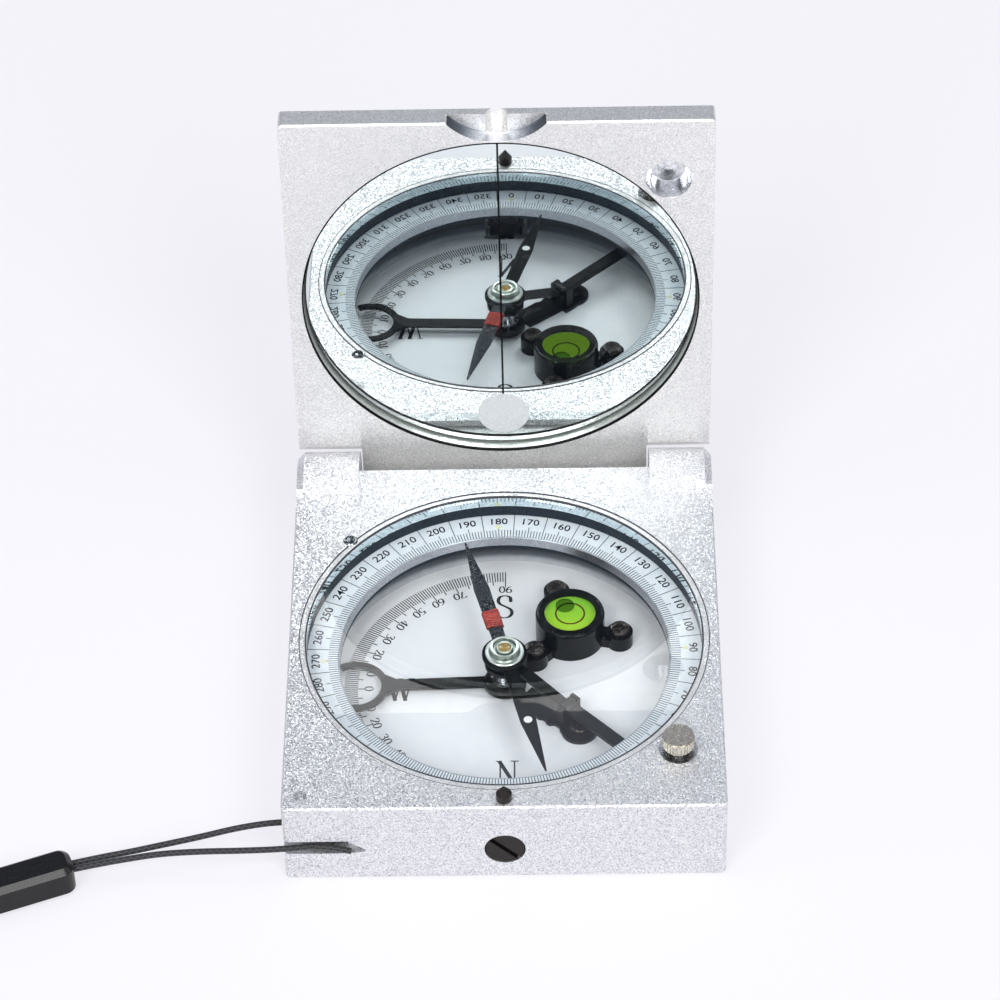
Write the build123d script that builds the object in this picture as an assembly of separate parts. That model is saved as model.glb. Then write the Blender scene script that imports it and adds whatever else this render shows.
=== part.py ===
from build123d import *
import math
import os

# Pocket geology compass: a square metal case with a windowed needle chamber and
# a hinged mirror lid, standing open.
# Frame: origin on the needle axis at the underside of the case, +Z up, +X to the
# right, +Y from the free edge towards the hinge. Millimetres.

# ---------------------------------------------------------------- overall case
CHAMBER_R = 31.2         # needle chamber, which sets the plan size of the case
RING_BORE_R = CHAMBER_R + 2.55
WINDOW_BORE_R = RING_BORE_R + 0.45
SIDE_WALL = 1.8
FRONT_WALL = 3.9
CASE_W = 2 * (WINDOW_BORE_R + SIDE_WALL)         # width along X
CASE_H = 17.1            # height of the top face
CASE_FRONT = WINDOW_BORE_R + FRONT_WALL          # needle axis to the free edge
CORNER_R = 1.0           # upright corner radius
EDGE = 0.45              # small edge chamfer
FIT = 0.06               # radial running clearance
GAP = 0.30               # open clearance between moving parts

# ---------------------------------------------------------------- chamber
FLOOR_T = 3.0            # case floor under the dial
DIAL_T = 1.5
DIAL_TOP = FLOOR_T + DIAL_T

# ---------------------------------------------------------------- window
GLASS_T = 1.4
BEZEL_T = 0.45
BEZEL_SINK = 0.05
BEZEL_IN_R = WINDOW_BORE_R - 1.05
GASKET_T = 0.3
LINER_IN_R = RING_BORE_R - 0.55
GLASS_TOP = CASE_H - BEZEL_SINK - BEZEL_T
GLASS_BOT = GLASS_TOP - GLASS_T
GASKET_BOT = GLASS_BOT - GASKET_T
CAP_TOP = GLASS_BOT - 0.57                       # needle cap under the glass
CAP_H = 1.93                                     # cap above the blade's middle
NEEDLE_Z = CAP_TOP - CAP_H                       # middle of the blade at the axis

# ---------------------------------------------------------------- graduated ring
RING_W = 5.87
RING_TOP = NEEDLE_Z - 0.1
RING_SEAT_Z = RING_TOP - 3.3                     # ledge that carries the graduated ring
WINDOW_BORE_Z = RING_TOP + 0.15
RING_T = 1.7
RING_LIP_T = 0.8
RING_LIP_DROP = 0.8
RING_SKIRT_T = 1.3
RING_FLOAT = 0.05
RING_OUT_R = RING_BORE_R - 0.08
RING_IN_R = RING_OUT_R - RING_W
GEAR_TEETH = 90
GEAR_OUT_R = RING_OUT_R - RING_SKIRT_T - 0.37
GEAR_IN_R = GEAR_OUT_R - 2.8
GEAR_PLATE_T = 0.4
GEAR_TOOTH_H = 1.0
GEAR_TOOTH_W = 0.70
GEAR_TOP = RING_TOP - RING_T
GEAR_ROOT = GEAR_TOP - GEAR_PLATE_T
GEAR_TIP = GEAR_ROOT - GEAR_TOOTH_H

# ---------------------------------------------------------------- ring adjuster
GEAR_MID_R = 0.5 * (GEAR_IN_R + GEAR_OUT_R)
PINION_TEETH = 9
PINION_L = 2.6
PINION_PITCH_R = GEAR_MID_R * PINION_TEETH / GEAR_TEETH
PINION_ADD = 0.44
PINION_DED = 0.60
ADJ_Z = GEAR_ROOT - 0.55 - PINION_PITCH_R
ADJ_HEAD_R = 3.3
ADJ_HEAD_T = 1.85
ADJ_SHAFT_R = 1.5
ADJ_SQ = 1.7             # square drive for the pinion
ADJ_SLOT_W = 0.8
ADJ_SLOT_D = 0.7
ADJ_BUSH_R = ADJ_SHAFT_R + 0.6
ADJ_CLIP_R = ADJ_SHAFT_R + 0.8
ADJ_CLIP_T = 0.4
PINION_OUT = -(GEAR_OUT_R - 0.1)          # outer end of the pinion (y)
POCKET_HALF = 4.2
POCKET_OUT = PINION_OUT - ADJ_CLIP_T - 0.25
POCKET_FLOOR = min(FLOOR_T, ADJ_Z - PINION_PITCH_R - PINION_ADD - GAP)   # relieved under a large pinion

# ---------------------------------------------------------------- hinge
KNUCKLE_R = 3.4
REAR_WALL = 1.1          # case wall between the window bore and the knuckles
WALL_REAR = WINDOW_BORE_R + REAR_WALL            # rear wall of the chamber between the ears
HINGE_Y = WALL_REAR + KNUCKLE_R + GAP
HINGE_Z = CASE_H - 6.1
CASE_REAR = HINGE_Y + 2.2                        # needle axis to the rear edge of the top face
EAR_R = 8.6
EAR_W = 10.8
EAR_IN_X = CASE_W / 2 - EAR_W
EAR_TOE = HINGE_Y - 8.85 # where the ear's fillet leaves the top face
EAR_CHAMFER = 1.2
PIN_R = 1.5
PIN_IN_X = EAR_IN_X - 11.2
LEDGE_Z = HINGE_Z + KNUCKLE_R + 0.5              # underside of the ledge over the knuckles
LEDGE_CHAMFER = 1.0
LID_OPEN = 92.3          # angle between the faces as it stands

# ---------------------------------------------------------------- lid
LID_GAP = 0.3            # lid face above the case when shut
LID_T = 6.6
LID_BACK_CHAMFER = 2.6
LID_SIDE_GAP = 0.3
LID_REAR = 7.0           # hinge axis to the lid's rear face
LID_REAR_R = 6.0
LID_CUT_R = 9.5          # corner cut-out around each ear
LID_CUT_Y = 5.0
MIRROR_R = CASE_W / 2 - 2.5
MIRROR_T = 2.0
MIRROR_SINK = 0.8
MIRROR_Y = -0.3
BACKING_T = 0.4
POCKET_W_R = 10.9        # half-moon sighting pocket
POCKET_IN = 4.0
POCKET_D = 2.5
GROOVE_R = 1.8
FACE_Z = CASE_H + LID_GAP

# ---------------------------------------------------------------- needle brake
KNOB_R = 2.65
KNOB_X = CASE_W / 2 - KNOB_R - 5.0
KNOB_Y = -(CASE_FRONT - KNOB_R - 9.55)
KNOB_H = 2.3
KNOB_RISE = 1.05         # underside of the knob above the case
CUP_R = KNOB_R + 1.2     # hollow in the lid over the knob
CUP_D = KNOB_RISE + KNOB_H + 0.2
KNOB_FLUTES = 30
TRAVEL = 0.9             # button stroke
ROD_R = 1.2
ROD_COLLAR_R = ROD_R + 0.7
BUSH_FLANGE_R = ROD_R + 2.0
BUSH_FLANGE_T = 0.8
BUSH_R = ROD_R + 0.8
BUSH_L = 3.4
SPRING_R = ROD_COLLAR_R + 0.05
SPRING_IN_R = ROD_R + 0.25
SPRING_POCKET_R = SPRING_R + 0.25
LEVER_Z = RING_SEAT_Z - 1.3                      # mid-height of the lever's outer arm
TUNNEL_Z0 = LEVER_Z - 2.1
TUNNEL_Z1 = LEVER_Z + 0.8
SHELF_TOP = TUNNEL_Z1 + 0.7
LEVER_T = 0.8
LEVER_W = 2.3
LEVER_INNER_W = 2.0
KINK_X = 10.85
KINK_Y = -8.0
FULCRUM_ARM = 25.5       # fulcrum to button, along the outer arm
FULCRUM_R = 0.5
FORK_OUT_R = 3.4
FORK_IN_R = 2.1
FORK_Z = NEEDLE_Z - 2.1                          # mid-height of the lever's ring
TUNNEL_W = LEVER_W + 2.1

# ---------------------------------------------------------------- post and needle
POST_FLANGE_R = 2.5
POST_FLANGE_T = 0.6
POST_R = 1.6
POST_UP_R = 1.2
POST_STEP_Z = NEEDLE_Z - 3.4
POST_TOP_Z = NEEDLE_Z - 0.8
PIVOT_R = 0.45
PIVOT_TIP_Z = NEEDLE_Z + 0.75
COLLAR_R = 2.6
COLLAR_T = 0.4
COLLAR_Z = NEEDLE_Z - 1.45
NEEDLE_HALF = RING_IN_R - 1.1
NEEDLE_SHOULDER = 15.5
NEEDLE_W = 2.7
NEEDLE_W_ROOT = 2.3
NEEDLE_T = 0.3
NEEDLE_DIP = 1.3         # the north end sits this many degrees low
NEEDLE_YAW = 14.7        # north end, turned from -Y towards +X
HUB_R = 3.8
HUB_T = 0.8
FLANGE_R = 3.1
FLANGE_T = 0.45
CAP_R = 2.3
JEWEL_R = 1.0
COIL_AT = 8.1            # winding on the south arm
COIL_L = 3.9

# ---------------------------------------------------------------- clinometer pointer
PEND_Z = DIAL_TOP + 1.2                          # underside of the arm
PEND_T = 0.6
PEND_HUB_R = 3.6
PEND_HUB_T = 1.2
PEND_W = 2.2
PEND_RING_AT = RING_IN_R - 2.4
PEND_RING_R = 5.6
PEND_RING_W = 1.15
PEND_REST = 2.0          # turned from -X towards -Y
PEND_MOUTH = 62.0        # half opening of the end ring, degrees

# ---------------------------------------------------------------- round level
LEVEL_X = 11.1
LEVEL_Y = 11.8
LEVEL_R = 5.9
LEVEL_TOP = NEEDLE_Z - 2.3
LEVEL_WIN_R = LEVEL_R - 1.55
LEVEL_VIAL_R = LEVEL_R - 1.0
LEVEL_GLASS_T = 0.7
LEVEL_LIP_T = 0.5
LUG_AT = LEVEL_R + 2.7                            # screw lugs, from the vial's axis
LUG_R = 2.25
LUG_TOP = DIAL_TOP + 2.8
LUG_ANGLES = (105.0, -11.0, -135.0)
SCREW_HEAD_R = 1.7
SCREW_HEAD_T = 1.0
SCREW_R = 0.8

# ---------------------------------------------------------------- bracket
BRK_T = 0.7
BRK_LUG_X = 12.4
BRK_LUG_Y = -10.2
BRK_LUG_R = 3.1

# ---------------------------------------------------------------- index stud, lanyard
STUD_R = 1.28
STUD_Y = -(CASE_FRONT - STUD_R - 0.62)
STUD_H = 2.9
STUD_FOOT_H = 1.3
LAN_X = -(CASE_W / 2 - 3.1)
LAN_Y = -(CASE_FRONT - 3.0)
LAN_PIN_R = 1.0
LAN_HOLE_R = 1.05
SLOT_Z0 = 6.3
SLOT_Z1 = 9.2
SLOT_X1 = -(CASE_W / 2 - 10.5)
SLOT_Y1 = -(CASE_FRONT - 6.5)
CORD_D = 1.05
BARREL_W = 5.8           # toggle barrel, flat on the table
BARREL_H = 6.2
BARREL_EDGE = 0.9
BARREL_L = 22.0
WRIST_D = 2.6
COIL_R = 17.0
COIL_HOLE_R = 9.0
COIL_H = 5.4

PARTS = {}


def keep(name, shape):
    PARTS[name] = shape


def cyl(r, z0, z1, x=0.0, y=0.0):
    return Pos(x, y, 0.5 * (z0 + z1)) * Cylinder(r, z1 - z0)


def tube(ro, ri, z0, z1, x=0.0, y=0.0):
    return cyl(ro, z0, z1, x, y) - cyl(ri, z0 - 1, z1 + 1, x, y)


def box(x0, x1, y0, y1, z0, z1):
    return Pos(0.5 * (x0 + x1), 0.5 * (y0 + y1), 0.5 * (z0 + z1)) * Box(x1 - x0, y1 - y0, z1 - z0)


def ycyl(r, y0, y1, x, z):
    return Pos(x, 0.5 * (y0 + y1), z) * (Rot(90, 0, 0) * Cylinder(r, y1 - y0))


def xcyl(r, x0, x1, y, z):
    return Pos(0.5 * (x0 + x1), y, z) * (Rot(0, 90, 0) * Cylinder(r, x1 - x0))


def signed_area(points):
    return 0.5 * sum(a[0] * b[1] - b[0] * a[1] for a, b in zip(points, points[1:] + points[:1]))


def prism(outline, vertices, axis, length, sense=1):
    """Closed outline extruded along axis, wound so that the solid is outward."""
    if signed_area(outline) * sense < 0:
        vertices = vertices[::-1]
    face = Face(Wire(Polyline(*vertices, close=True).edges()))
    return Solid.extrude(face, Vector(*axis) * length)


def side_prism(points, x0, x1):
    """Closed outline in (y, z), extruded from x0 to x1."""
    return prism(points, [(x0, y, z) for y, z in points], (1, 0, 0), x1 - x0)


def plan_prism(points, z0, z1):
    """Closed outline in (x, y), extruded from z0 to z1."""
    return prism(points, [(x, y, z0) for x, y in points], (0, 0, 1), z1 - z0)


def front_prism(points, y0, y1):
    """Closed outline in (x, z), extruded from y0 to y1."""
    return prism(points, [(x, y0, z) for x, z in points], (0, 1, 0), y1 - y0, -1)


def bar(p, q, width, z0, z1):
    """Flat bar in plan from p to q."""
    dx, dy = q[0] - p[0], q[1] - p[1]
    n = math.hypot(dx, dy)
    ox, oy = -dy / n * width / 2, dx / n * width / 2
    return plan_prism([(p[0] + ox, p[1] + oy), (q[0] + ox, q[1] + oy), (q[0] - ox, q[1] - oy), (p[0] - ox, p[1] - oy)], z0, z1)


HALF_W = CASE_W / 2
OUT = math.atan2(KNOB_Y - KINK_Y, KNOB_X - KINK_X)      # plan direction of the lever's outer arm
UX, UY = math.cos(OUT), math.sin(OUT)
FX, FY = KNOB_X - FULCRUM_ARM * UX, KNOB_Y - FULCRUM_ARM * UY


# ================================================================= case
def ear_block(x0, x1):
    """Ear: round knuckle block with a concave run-up from the top face."""
    dy = HINGE_Y - EAR_TOE
    dz = CASE_H - HINGE_Z
    rf = (dy * dy + dz * dz - EAR_R * EAR_R) / (2 * (EAR_R - dz))
    cy, cz = EAR_TOE, CASE_H + rf
    ty = HINGE_Y - EAR_R * dy / (EAR_R + rf)
    tz = HINGE_Z + EAR_R * (dz + rf) / (EAR_R + rf)
    pts = [(EAR_TOE, CASE_H)]
    a1 = math.atan2(tz - cz, ty - cy)
    for i in range(1, 9):
        a = -math.pi / 2 + (a1 + math.pi / 2) * i / 8
        pts.append((cy + rf * math.cos(a), cz + rf * math.sin(a)))
    arc = ThreePointArc((x0, *pts[0]), (x0, *pts[4]), (x0, *pts[8]))
    rest = Polyline((x0, ty, tz), (x0, HINGE_Y, HINGE_Z), (x0, EAR_TOE, HINGE_Z), (x0, EAR_TOE, CASE_H))
    web = extrude(make_face(Wire([arc, *rest.edges()])), amount=x1 - x0, dir=(1, 0, 0))
    drum = chamfer(xcyl(EAR_R, x0, x1, HINGE_Y, HINGE_Z).edges().filter_by(GeomType.CIRCLE).sort_by(Axis.X)[-1 if x0 > 0 else 0], EAR_CHAMFER)
    return web + drum


def build_case():
    body = box(-HALF_W, HALF_W, -CASE_FRONT, CASE_REAR, 0, CASE_H)
    body = fillet(body.edges().filter_by(Axis.Z).group_by(Axis.Y)[0], CORNER_R)
    body = chamfer(body.faces().sort_by(Axis.Z)[0].edges(), EDGE)
    top = body.faces().sort_by(Axis.Z)[-1].edges()
    body = chamfer([e for e in top if e.center().Y < CASE_REAR - 1], EDGE * 0.6)
    body += ear_block(EAR_IN_X, HALF_W)
    body += ear_block(-HALF_W, -EAR_IN_X)
    # room for the lid knuckles under the rear ledge
    body -= box(-EAR_IN_X, EAR_IN_X, WALL_REAR, CASE_REAR + 10, -1, LEDGE_Z)
    c = LEDGE_CHAMFER
    body -= side_prism([(CASE_REAR - c, CASE_H + 0.01), (CASE_REAR + 0.01, CASE_H - c), (CASE_REAR + 1, CASE_H - c), (CASE_REAR + 1, CASE_H + 1), (CASE_REAR - c, CASE_H + 1)], -EAR_IN_X, EAR_IN_X)
    # stepped chamber
    body -= cyl(CHAMBER_R, FLOOR_T, CASE_H + 1)
    body -= cyl(RING_BORE_R, RING_SEAT_Z, CASE_H + 1)
    body -= cyl(WINDOW_BORE_R, WINDOW_BORE_Z, CASE_H + 1)
    # hinge pins
    body -= xcyl(PIN_R, EAR_IN_X - 1, HALF_W + 1, HINGE_Y, HINGE_Z)
    body -= xcyl(PIN_R, -HALF_W - 1, -EAR_IN_X + 1, HINGE_Y, HINGE_Z)
    # adjuster: head counterbore, bush bore, pinion pocket
    body -= ycyl(ADJ_HEAD_R + FIT, -CASE_FRONT - 1, -CASE_FRONT + ADJ_HEAD_T + 0.05, 0, ADJ_Z)
    body -= ycyl(ADJ_BUSH_R, -CASE_FRONT, POCKET_OUT + 0.5, 0, ADJ_Z)
    body -= box(-POCKET_HALF, POCKET_HALF, POCKET_OUT, -CHAMBER_R + 3, POCKET_FLOOR, RING_SEAT_Z + 0.01)
    # brake: lever tunnel, rod hole, spring pocket, bush seat
    n = math.hypot(KNOB_X, KNOB_Y)
    a = math.hypot(KNOB_X - KINK_X, KNOB_Y - KINK_Y) - (n - CHAMBER_R) - 4.0
    sx, sy = KINK_X + UX * a, KINK_Y + UY * a
    body -= bar((sx, sy), (KNOB_X + UX * 2.6, KNOB_Y + UY * 2.6), TUNNEL_W, TUNNEL_Z0, TUNNEL_Z1)
    body -= cyl(ROD_R + 0.15, TUNNEL_Z1 - 0.5, SHELF_TOP + 0.5, KNOB_X, KNOB_Y)
    body -= cyl(SPRING_POCKET_R, SHELF_TOP, CASE_H - BUSH_L, KNOB_X, KNOB_Y)
    body -= cyl(BUSH_R, CASE_H - BUSH_L - 0.5, CASE_H, KNOB_X, KNOB_Y)
    body -= cyl(BUSH_FLANGE_R, CASE_H - BUSH_FLANGE_T, CASE_H + 1, KNOB_X, KNOB_Y)
    # index stud socket
    body -= cyl(STUD_R * 0.6, CASE_H - 2.0, CASE_H + 1, 0, STUD_Y)
    # screw and post holes in the floor
    for x, y in level_lugs():
        body -= cyl(SCREW_R, 1.0, FLOOR_T + 1, x, y)
    body -= cyl(SCREW_R, 1.0, FLOOR_T + 1, BRK_LUG_X, BRK_LUG_Y)
    body -= cyl(POST_R, 1.0, FLOOR_T + 1)
    # lanyard slot round the front-left corner, and its upright pin hole
    body -= box(-HALF_W - 1, SLOT_X1, -CASE_FRONT - 1, SLOT_Y1, SLOT_Z0, SLOT_Z1)
    # the slot's inner end runs out in a shallow wedge that the cord's bight lies in
    wedge = make_face(Polyline(
        (SLOT_X1 - 0.5, SLOT_Z1), (SLOT_X1, SLOT_Z1), (SLOT_X1 + 2.6, 7.35), (SLOT_X1 + 2.85, 6.95),
        (SLOT_X1 + 2.6, 6.65), (SLOT_X1, SLOT_Z0), (SLOT_X1 - 0.5, SLOT_Z0), close=True,
    ))
    body -= Pos(0, -CASE_FRONT + 1.8, 0) * extrude(Plane.XZ * wedge, amount=4)
    body -= cyl(LAN_HOLE_R, 3.0, CASE_H + 1, LAN_X, LAN_Y)
    keep("base_case", body)


def level_lugs():
    out = []
    for d in LUG_ANGLES:
        a = math.radians(d)
        out.append((LEVEL_X + LUG_AT * math.cos(a), LEVEL_Y + LUG_AT * math.sin(a)))
    return out


def build_case_fittings():
    dial = cyl(CHAMBER_R - 0.15, FLOOR_T, DIAL_TOP)
    dial -= box(-POCKET_HALF, POCKET_HALF, -CHAMBER_R - 1, -GEAR_IN_R + 0.5, 0, 9)
    for x, y in level_lugs():
        dial -= cyl(SCREW_R, 0, 9, x, y)
    dial -= cyl(SCREW_R, 0, 9, BRK_LUG_X, BRK_LUG_Y)
    dial -= cyl(POST_R, 0, 9)
    keep("dial_plate", dial)

    keep("window_glass", cyl(WINDOW_BORE_R - 0.05, GLASS_BOT, GLASS_TOP))
    bez = tube(WINDOW_BORE_R, BEZEL_IN_R, GLASS_TOP, GLASS_TOP + BEZEL_T)
    bez = chamfer(bez.edges().filter_by(GeomType.CIRCLE).group_by(Axis.Z)[-1].sort_by(SortBy.LENGTH)[0], 0.25)
    keep("window_retaining_ring", bez)
    keep("window_gasket", tube(WINDOW_BORE_R - 0.05, BEZEL_IN_R, GASKET_BOT, GLASS_BOT))
    keep("chamber_liner", tube(WINDOW_BORE_R, LINER_IN_R, WINDOW_BORE_Z, GASKET_BOT))

    stud = cyl(STUD_R * 0.6, CASE_H - 2.0, CASE_H, 0, STUD_Y) + cyl(STUD_R, CASE_H, CASE_H + STUD_FOOT_H, 0, STUD_Y)
    stud += Pos(0, STUD_Y, CASE_H + STUD_FOOT_H + 0.5 * (STUD_H - STUD_FOOT_H)) * Cone(STUD_R, 0.08, STUD_H - STUD_FOOT_H)
    keep("index_stud", stud)

    pins = []
    for s in (1, -1):
        p = xcyl(PIN_R, s * PIN_IN_X if s > 0 else -HALF_W + 0.2, HALF_W - 0.2 if s > 0 else -PIN_IN_X, HINGE_Y, HINGE_Z)
        p = chamfer(p.edges().filter_by(GeomType.CIRCLE), 0.2)
        pins.append(p)
    keep("hinge_pin_right", pins[0])
    keep("hinge_pin_left", pins[1])

    keep("lanyard_pin", cyl(LAN_PIN_R, 3.0, CASE_H - 1.4, LAN_X, LAN_Y))

    b = tube(BUSH_FLANGE_R, ROD_R + FIT, CASE_H - BUSH_FLANGE_T, CASE_H, KNOB_X, KNOB_Y)
    b += tube(BUSH_R, ROD_R + FIT, CASE_H - BUSH_L, CASE_H - BUSH_FLANGE_T, KNOB_X, KNOB_Y)
    keep("button_bush", b)
    y0 = -CASE_FRONT + ADJ_HEAD_T + 0.05
    keep("adjuster_bush", ycyl(ADJ_BUSH_R, y0, POCKET_OUT, 0, ADJ_Z) - ycyl(ADJ_SHAFT_R + FIT, y0 - 1, POCKET_OUT + 1, 0, ADJ_Z))


# ================================================================= round level
def phillips(x, y, z, r, depth=0.5, yaw=20.0):
    c = Pos(x, y, z) * (Rot(0, 0, yaw) * (Box(2 * r, 0.42, 2 * depth) + Box(0.42, 2 * r, 2 * depth)))
    return c


def screw(x, y, z_head, z_tip, yaw):
    s = cyl(SCREW_HEAD_R, z_head, z_head + SCREW_HEAD_T, x, y)
    s = fillet(s.edges().filter_by(GeomType.CIRCLE).group_by(Axis.Z)[-1], 0.35)
    s -= phillips(x, y, z_head + SCREW_HEAD_T, 0.95, 0.5, yaw)
    return s + cyl(SCREW_R, z_tip, z_head, x, y)


def build_level():
    h = cyl(LEVEL_R, DIAL_TOP, LEVEL_TOP, LEVEL_X, LEVEL_Y)
    h = fillet(h.edges().filter_by(GeomType.CIRCLE).group_by(Axis.Z)[-1], 0.5)
    for x, y in level_lugs():
        h += cyl(LUG_R, DIAL_TOP, LUG_TOP, x, y)
        h += bar((LEVEL_X, LEVEL_Y), (x, y), 3.2, DIAL_TOP, LUG_TOP - 1.0)
    glass_top = LEVEL_TOP - LEVEL_LIP_T
    vial_top = glass_top - LEVEL_GLASS_T
    h -= cyl(LEVEL_VIAL_R, DIAL_TOP + 1.2, glass_top, LEVEL_X, LEVEL_Y)
    h -= cyl(LEVEL_WIN_R, glass_top - 1, LEVEL_TOP + 1, LEVEL_X, LEVEL_Y)
    for x, y in level_lugs():
        h -= cyl(SCREW_R, 0, 20, x, y)
    keep("level_housing", h)
    keep("level_liquid", cyl(LEVEL_VIAL_R - 0.05, DIAL_TOP + 1.2, vial_top, LEVEL_X, LEVEL_Y))
    keep("level_glass", cyl(LEVEL_VIAL_R - 0.05, vial_top, glass_top, LEVEL_X, LEVEL_Y))
    for i, (x, y) in enumerate(level_lugs()):
        keep("level_screw_%d" % (i + 1), screw(x, y, LUG_TOP, 1.0, 25 + 37 * i))


# ================================================================= bracket and post
def build_bracket():
    z0, z1 = DIAL_TOP, DIAL_TOP + BRK_T
    a = math.atan2(BRK_LUG_Y, BRK_LUG_X)
    cx, sx = math.cos(a), math.sin(a)
    plate = bar((3.9 * cx, 3.9 * sx), (BRK_LUG_X, BRK_LUG_Y), 4.6, z0, z1)
    plate += cyl(BRK_LUG_R, z0, z1, BRK_LUG_X, BRK_LUG_Y)
    # scalloped lower edge
    for s, off, r in ((12.6, -2.9, 1.25), (10.0, -3.0, 1.0)):
        plate -= cyl(r, z0 - 1, z1 + 1, s * cx - off * sx, s * sx + off * cx)
    plate -= cyl(SCREW_R, 0, 20, BRK_LUG_X, BRK_LUG_Y)
    # two upright cheeks that hold the fulcrum pin
    cheek_top = LEVER_Z + 1.0
    for s in (1, -1):
        off0, off1 = s * (LEVER_W / 2 + 0.2), s * (LEVER_W / 2 + 0.9)
        m = 0.5 * (off0 + off1)
        px, py = FX - UY * m, FY + UX * m
        cheek = bar((px - UX * 0.9, py - UY * 0.9), (px + UX * 0.9, py + UY * 0.9), 0.7, z0, cheek_top)
        plate += cheek
        plate += bar((px - UX * 1.4, py - UY * 1.4), (px + UX * 1.4, py + UY * 1.4), 1.6, z0, z1)
    pin_len = LEVER_W + 2 * 0.9
    axis_pin = Pos(FX, FY, LEVER_Z) * (Rot(0, 0, math.degrees(OUT)) * (Rot(90, 0, 0) * Cylinder(FULCRUM_R, pin_len)))
    plate -= Pos(FX, FY, LEVER_Z) * (Rot(0, 0, math.degrees(OUT)) * (Rot(90, 0, 0) * Cylinder(FULCRUM_R, pin_len + 1)))
    keep("lift_bracket", plate)
    keep("fulcrum_pin", axis_pin)
    keep("bracket_screw", screw(BRK_LUG_X, BRK_LUG_Y, z1, 1.0, 10))

    post = cyl(POST_R, 1.0, POST_STEP_Z) + cyl(POST_FLANGE_R, DIAL_TOP, DIAL_TOP + POST_FLANGE_T)
    post += cyl(POST_UP_R, POST_STEP_Z, POST_TOP_Z)
    post += cyl(PIVOT_R, POST_TOP_Z, PIVOT_TIP_Z - 0.6)
    post += Pos(0, 0, PIVOT_TIP_Z - 0.3) * Cone(PIVOT_R, 0.06, 0.6)
    keep("pivot_post", post)
    hub_top = PEND_Z - 0.3 + PEND_HUB_T
    keep("pointer_retainer", tube(2.4, POST_R, hub_top + 0.3, hub_top + 0.9))


# ================================================================= clinometer pointer
def build_pointer():
    hub = tube(PEND_HUB_R, POST_R + 0.08, PEND_Z - 0.3, PEND_Z - 0.3 + PEND_HUB_T)
    hub = chamfer(hub.edges().filter_by(GeomType.CIRCLE).group_by(Axis.Z)[-1].sort_by(SortBy.LENGTH)[-1], 0.3)
    z0, z1 = PEND_Z, PEND_Z + PEND_T
    arm = bar((-(PEND_HUB_R - 0.6), 0), (-(PEND_RING_AT - PEND_RING_R + PEND_RING_W * 0.5), 0), PEND_W, z0, z1)
    for s in (1, -1):   # flared root of the end ring
        arm += plan_prism([(-(PEND_RING_AT - PEND_RING_R - 1.6), 0), (-(PEND_RING_AT - PEND_RING_R + 0.25), 0), (-(PEND_RING_AT - PEND_RING_R + 0.6), s * 2.4), (-(PEND_RING_AT - PEND_RING_R - 1.6), s * PEND_W / 2)], z0, z1)
    eye = tube(PEND_RING_R, PEND_RING_R - PEND_RING_W, z0, z1, -PEND_RING_AT, 0)
    t = math.tan(math.radians(PEND_MOUTH)) * 12
    eye -= plan_prism([(-PEND_RING_AT, 0), (-PEND_RING_AT - 12, t), (-PEND_RING_AT - 12, -t)], z0 - 1, z1 + 1)
    arm -= cyl(PEND_RING_R - PEND_RING_W, z0 - 1, z1 + 1, -PEND_RING_AT, 0)
    p = hub + arm + eye
    keep("clinometer_pointer", Rot(0, 0, PEND_REST) * p)


# ================================================================= needle
def tilt(s):
    """Level needle piece, built with north along -Y, to its dipped and turned place."""
    s = Pos(0, 0, NEEDLE_Z) * (Rot(NEEDLE_DIP, 0, 0) * (Pos(0, 0, -NEEDLE_Z) * s))
    return Rot(0, 0, NEEDLE_YAW) * s


def build_needle():
    z0, z1 = NEEDLE_Z - NEEDLE_T / 2, NEEDLE_Z + NEEDLE_T / 2
    half = []
    wr, ws = NEEDLE_W_ROOT / 2, NEEDLE_W / 2
    north = [(wr, -2.6), (ws, -NEEDLE_SHOULDER), (0.12, -NEEDLE_HALF), (-0.12, -NEEDLE_HALF), (-ws, -NEEDLE_SHOULDER), (-wr, -2.6)]
    south = [(-x, -y) for x, y in north]
    blade_n = plan_prism(north, z0, z1)
    blade_s = plan_prism(south, z0, z1)
    ring = tube(HUB_R, 1.9, NEEDLE_Z - HUB_T / 2, NEEDLE_Z + HUB_T / 2)
    ring = chamfer(ring.edges().filter_by(GeomType.CIRCLE).group_by(Axis.Z)[-1].sort_by(SortBy.LENGTH)[-1], 0.2)
    keep("needle_blade", tilt(ring + blade_n + blade_s))
    top = NEEDLE_Z + HUB_T / 2
    hub = tube(FLANGE_R, 1.0, top, top + FLANGE_T)
    hub += tube(1.9, 1.4, NEEDLE_Z - HUB_T / 2, top)
    hub += tube(CAP_R, 1.0, top + FLANGE_T, CAP_TOP - 0.35)
    keep("needle_hub", tilt(hub))
    jb = PIVOT_TIP_Z - 0.15
    jewel = cyl(1.0, jb, CAP_TOP - 0.45) - Pos(0, 0, jb + 0.05) * Cone(0.7, 0.15, 0.35)
    keep("needle_jewel", tilt(jewel))
    cap = tube(CAP_R, 1.35, CAP_TOP - 0.35, CAP_TOP)
    cap = fillet(cap.edges().filter_by(GeomType.CIRCLE).group_by(Axis.Z)[-1].sort_by(SortBy.LENGTH)[-1], 0.25)
    keep("needle_cap_ring", tilt(cap))
    w = NEEDLE_W_ROOT + 0.25
    y0, y1 = COIL_AT - COIL_L / 2, COIL_AT + COIL_L / 2
    outer = box(-w / 2 - 0.25, w / 2 + 0.25, y0, y1, z0 - 0.35, z1 + 0.35)
    outer = fillet(outer.edges().filter_by(Axis.Y), 0.3)
    inner = plan_prism(south, z0, z1)
    keep("counterweight_coil", tilt(outer - inner))

    keep("lift_collar", tube(COLLAR_R, POST_UP_R + 0.08, COLLAR_Z, COLLAR_Z + COLLAR_T))


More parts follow.
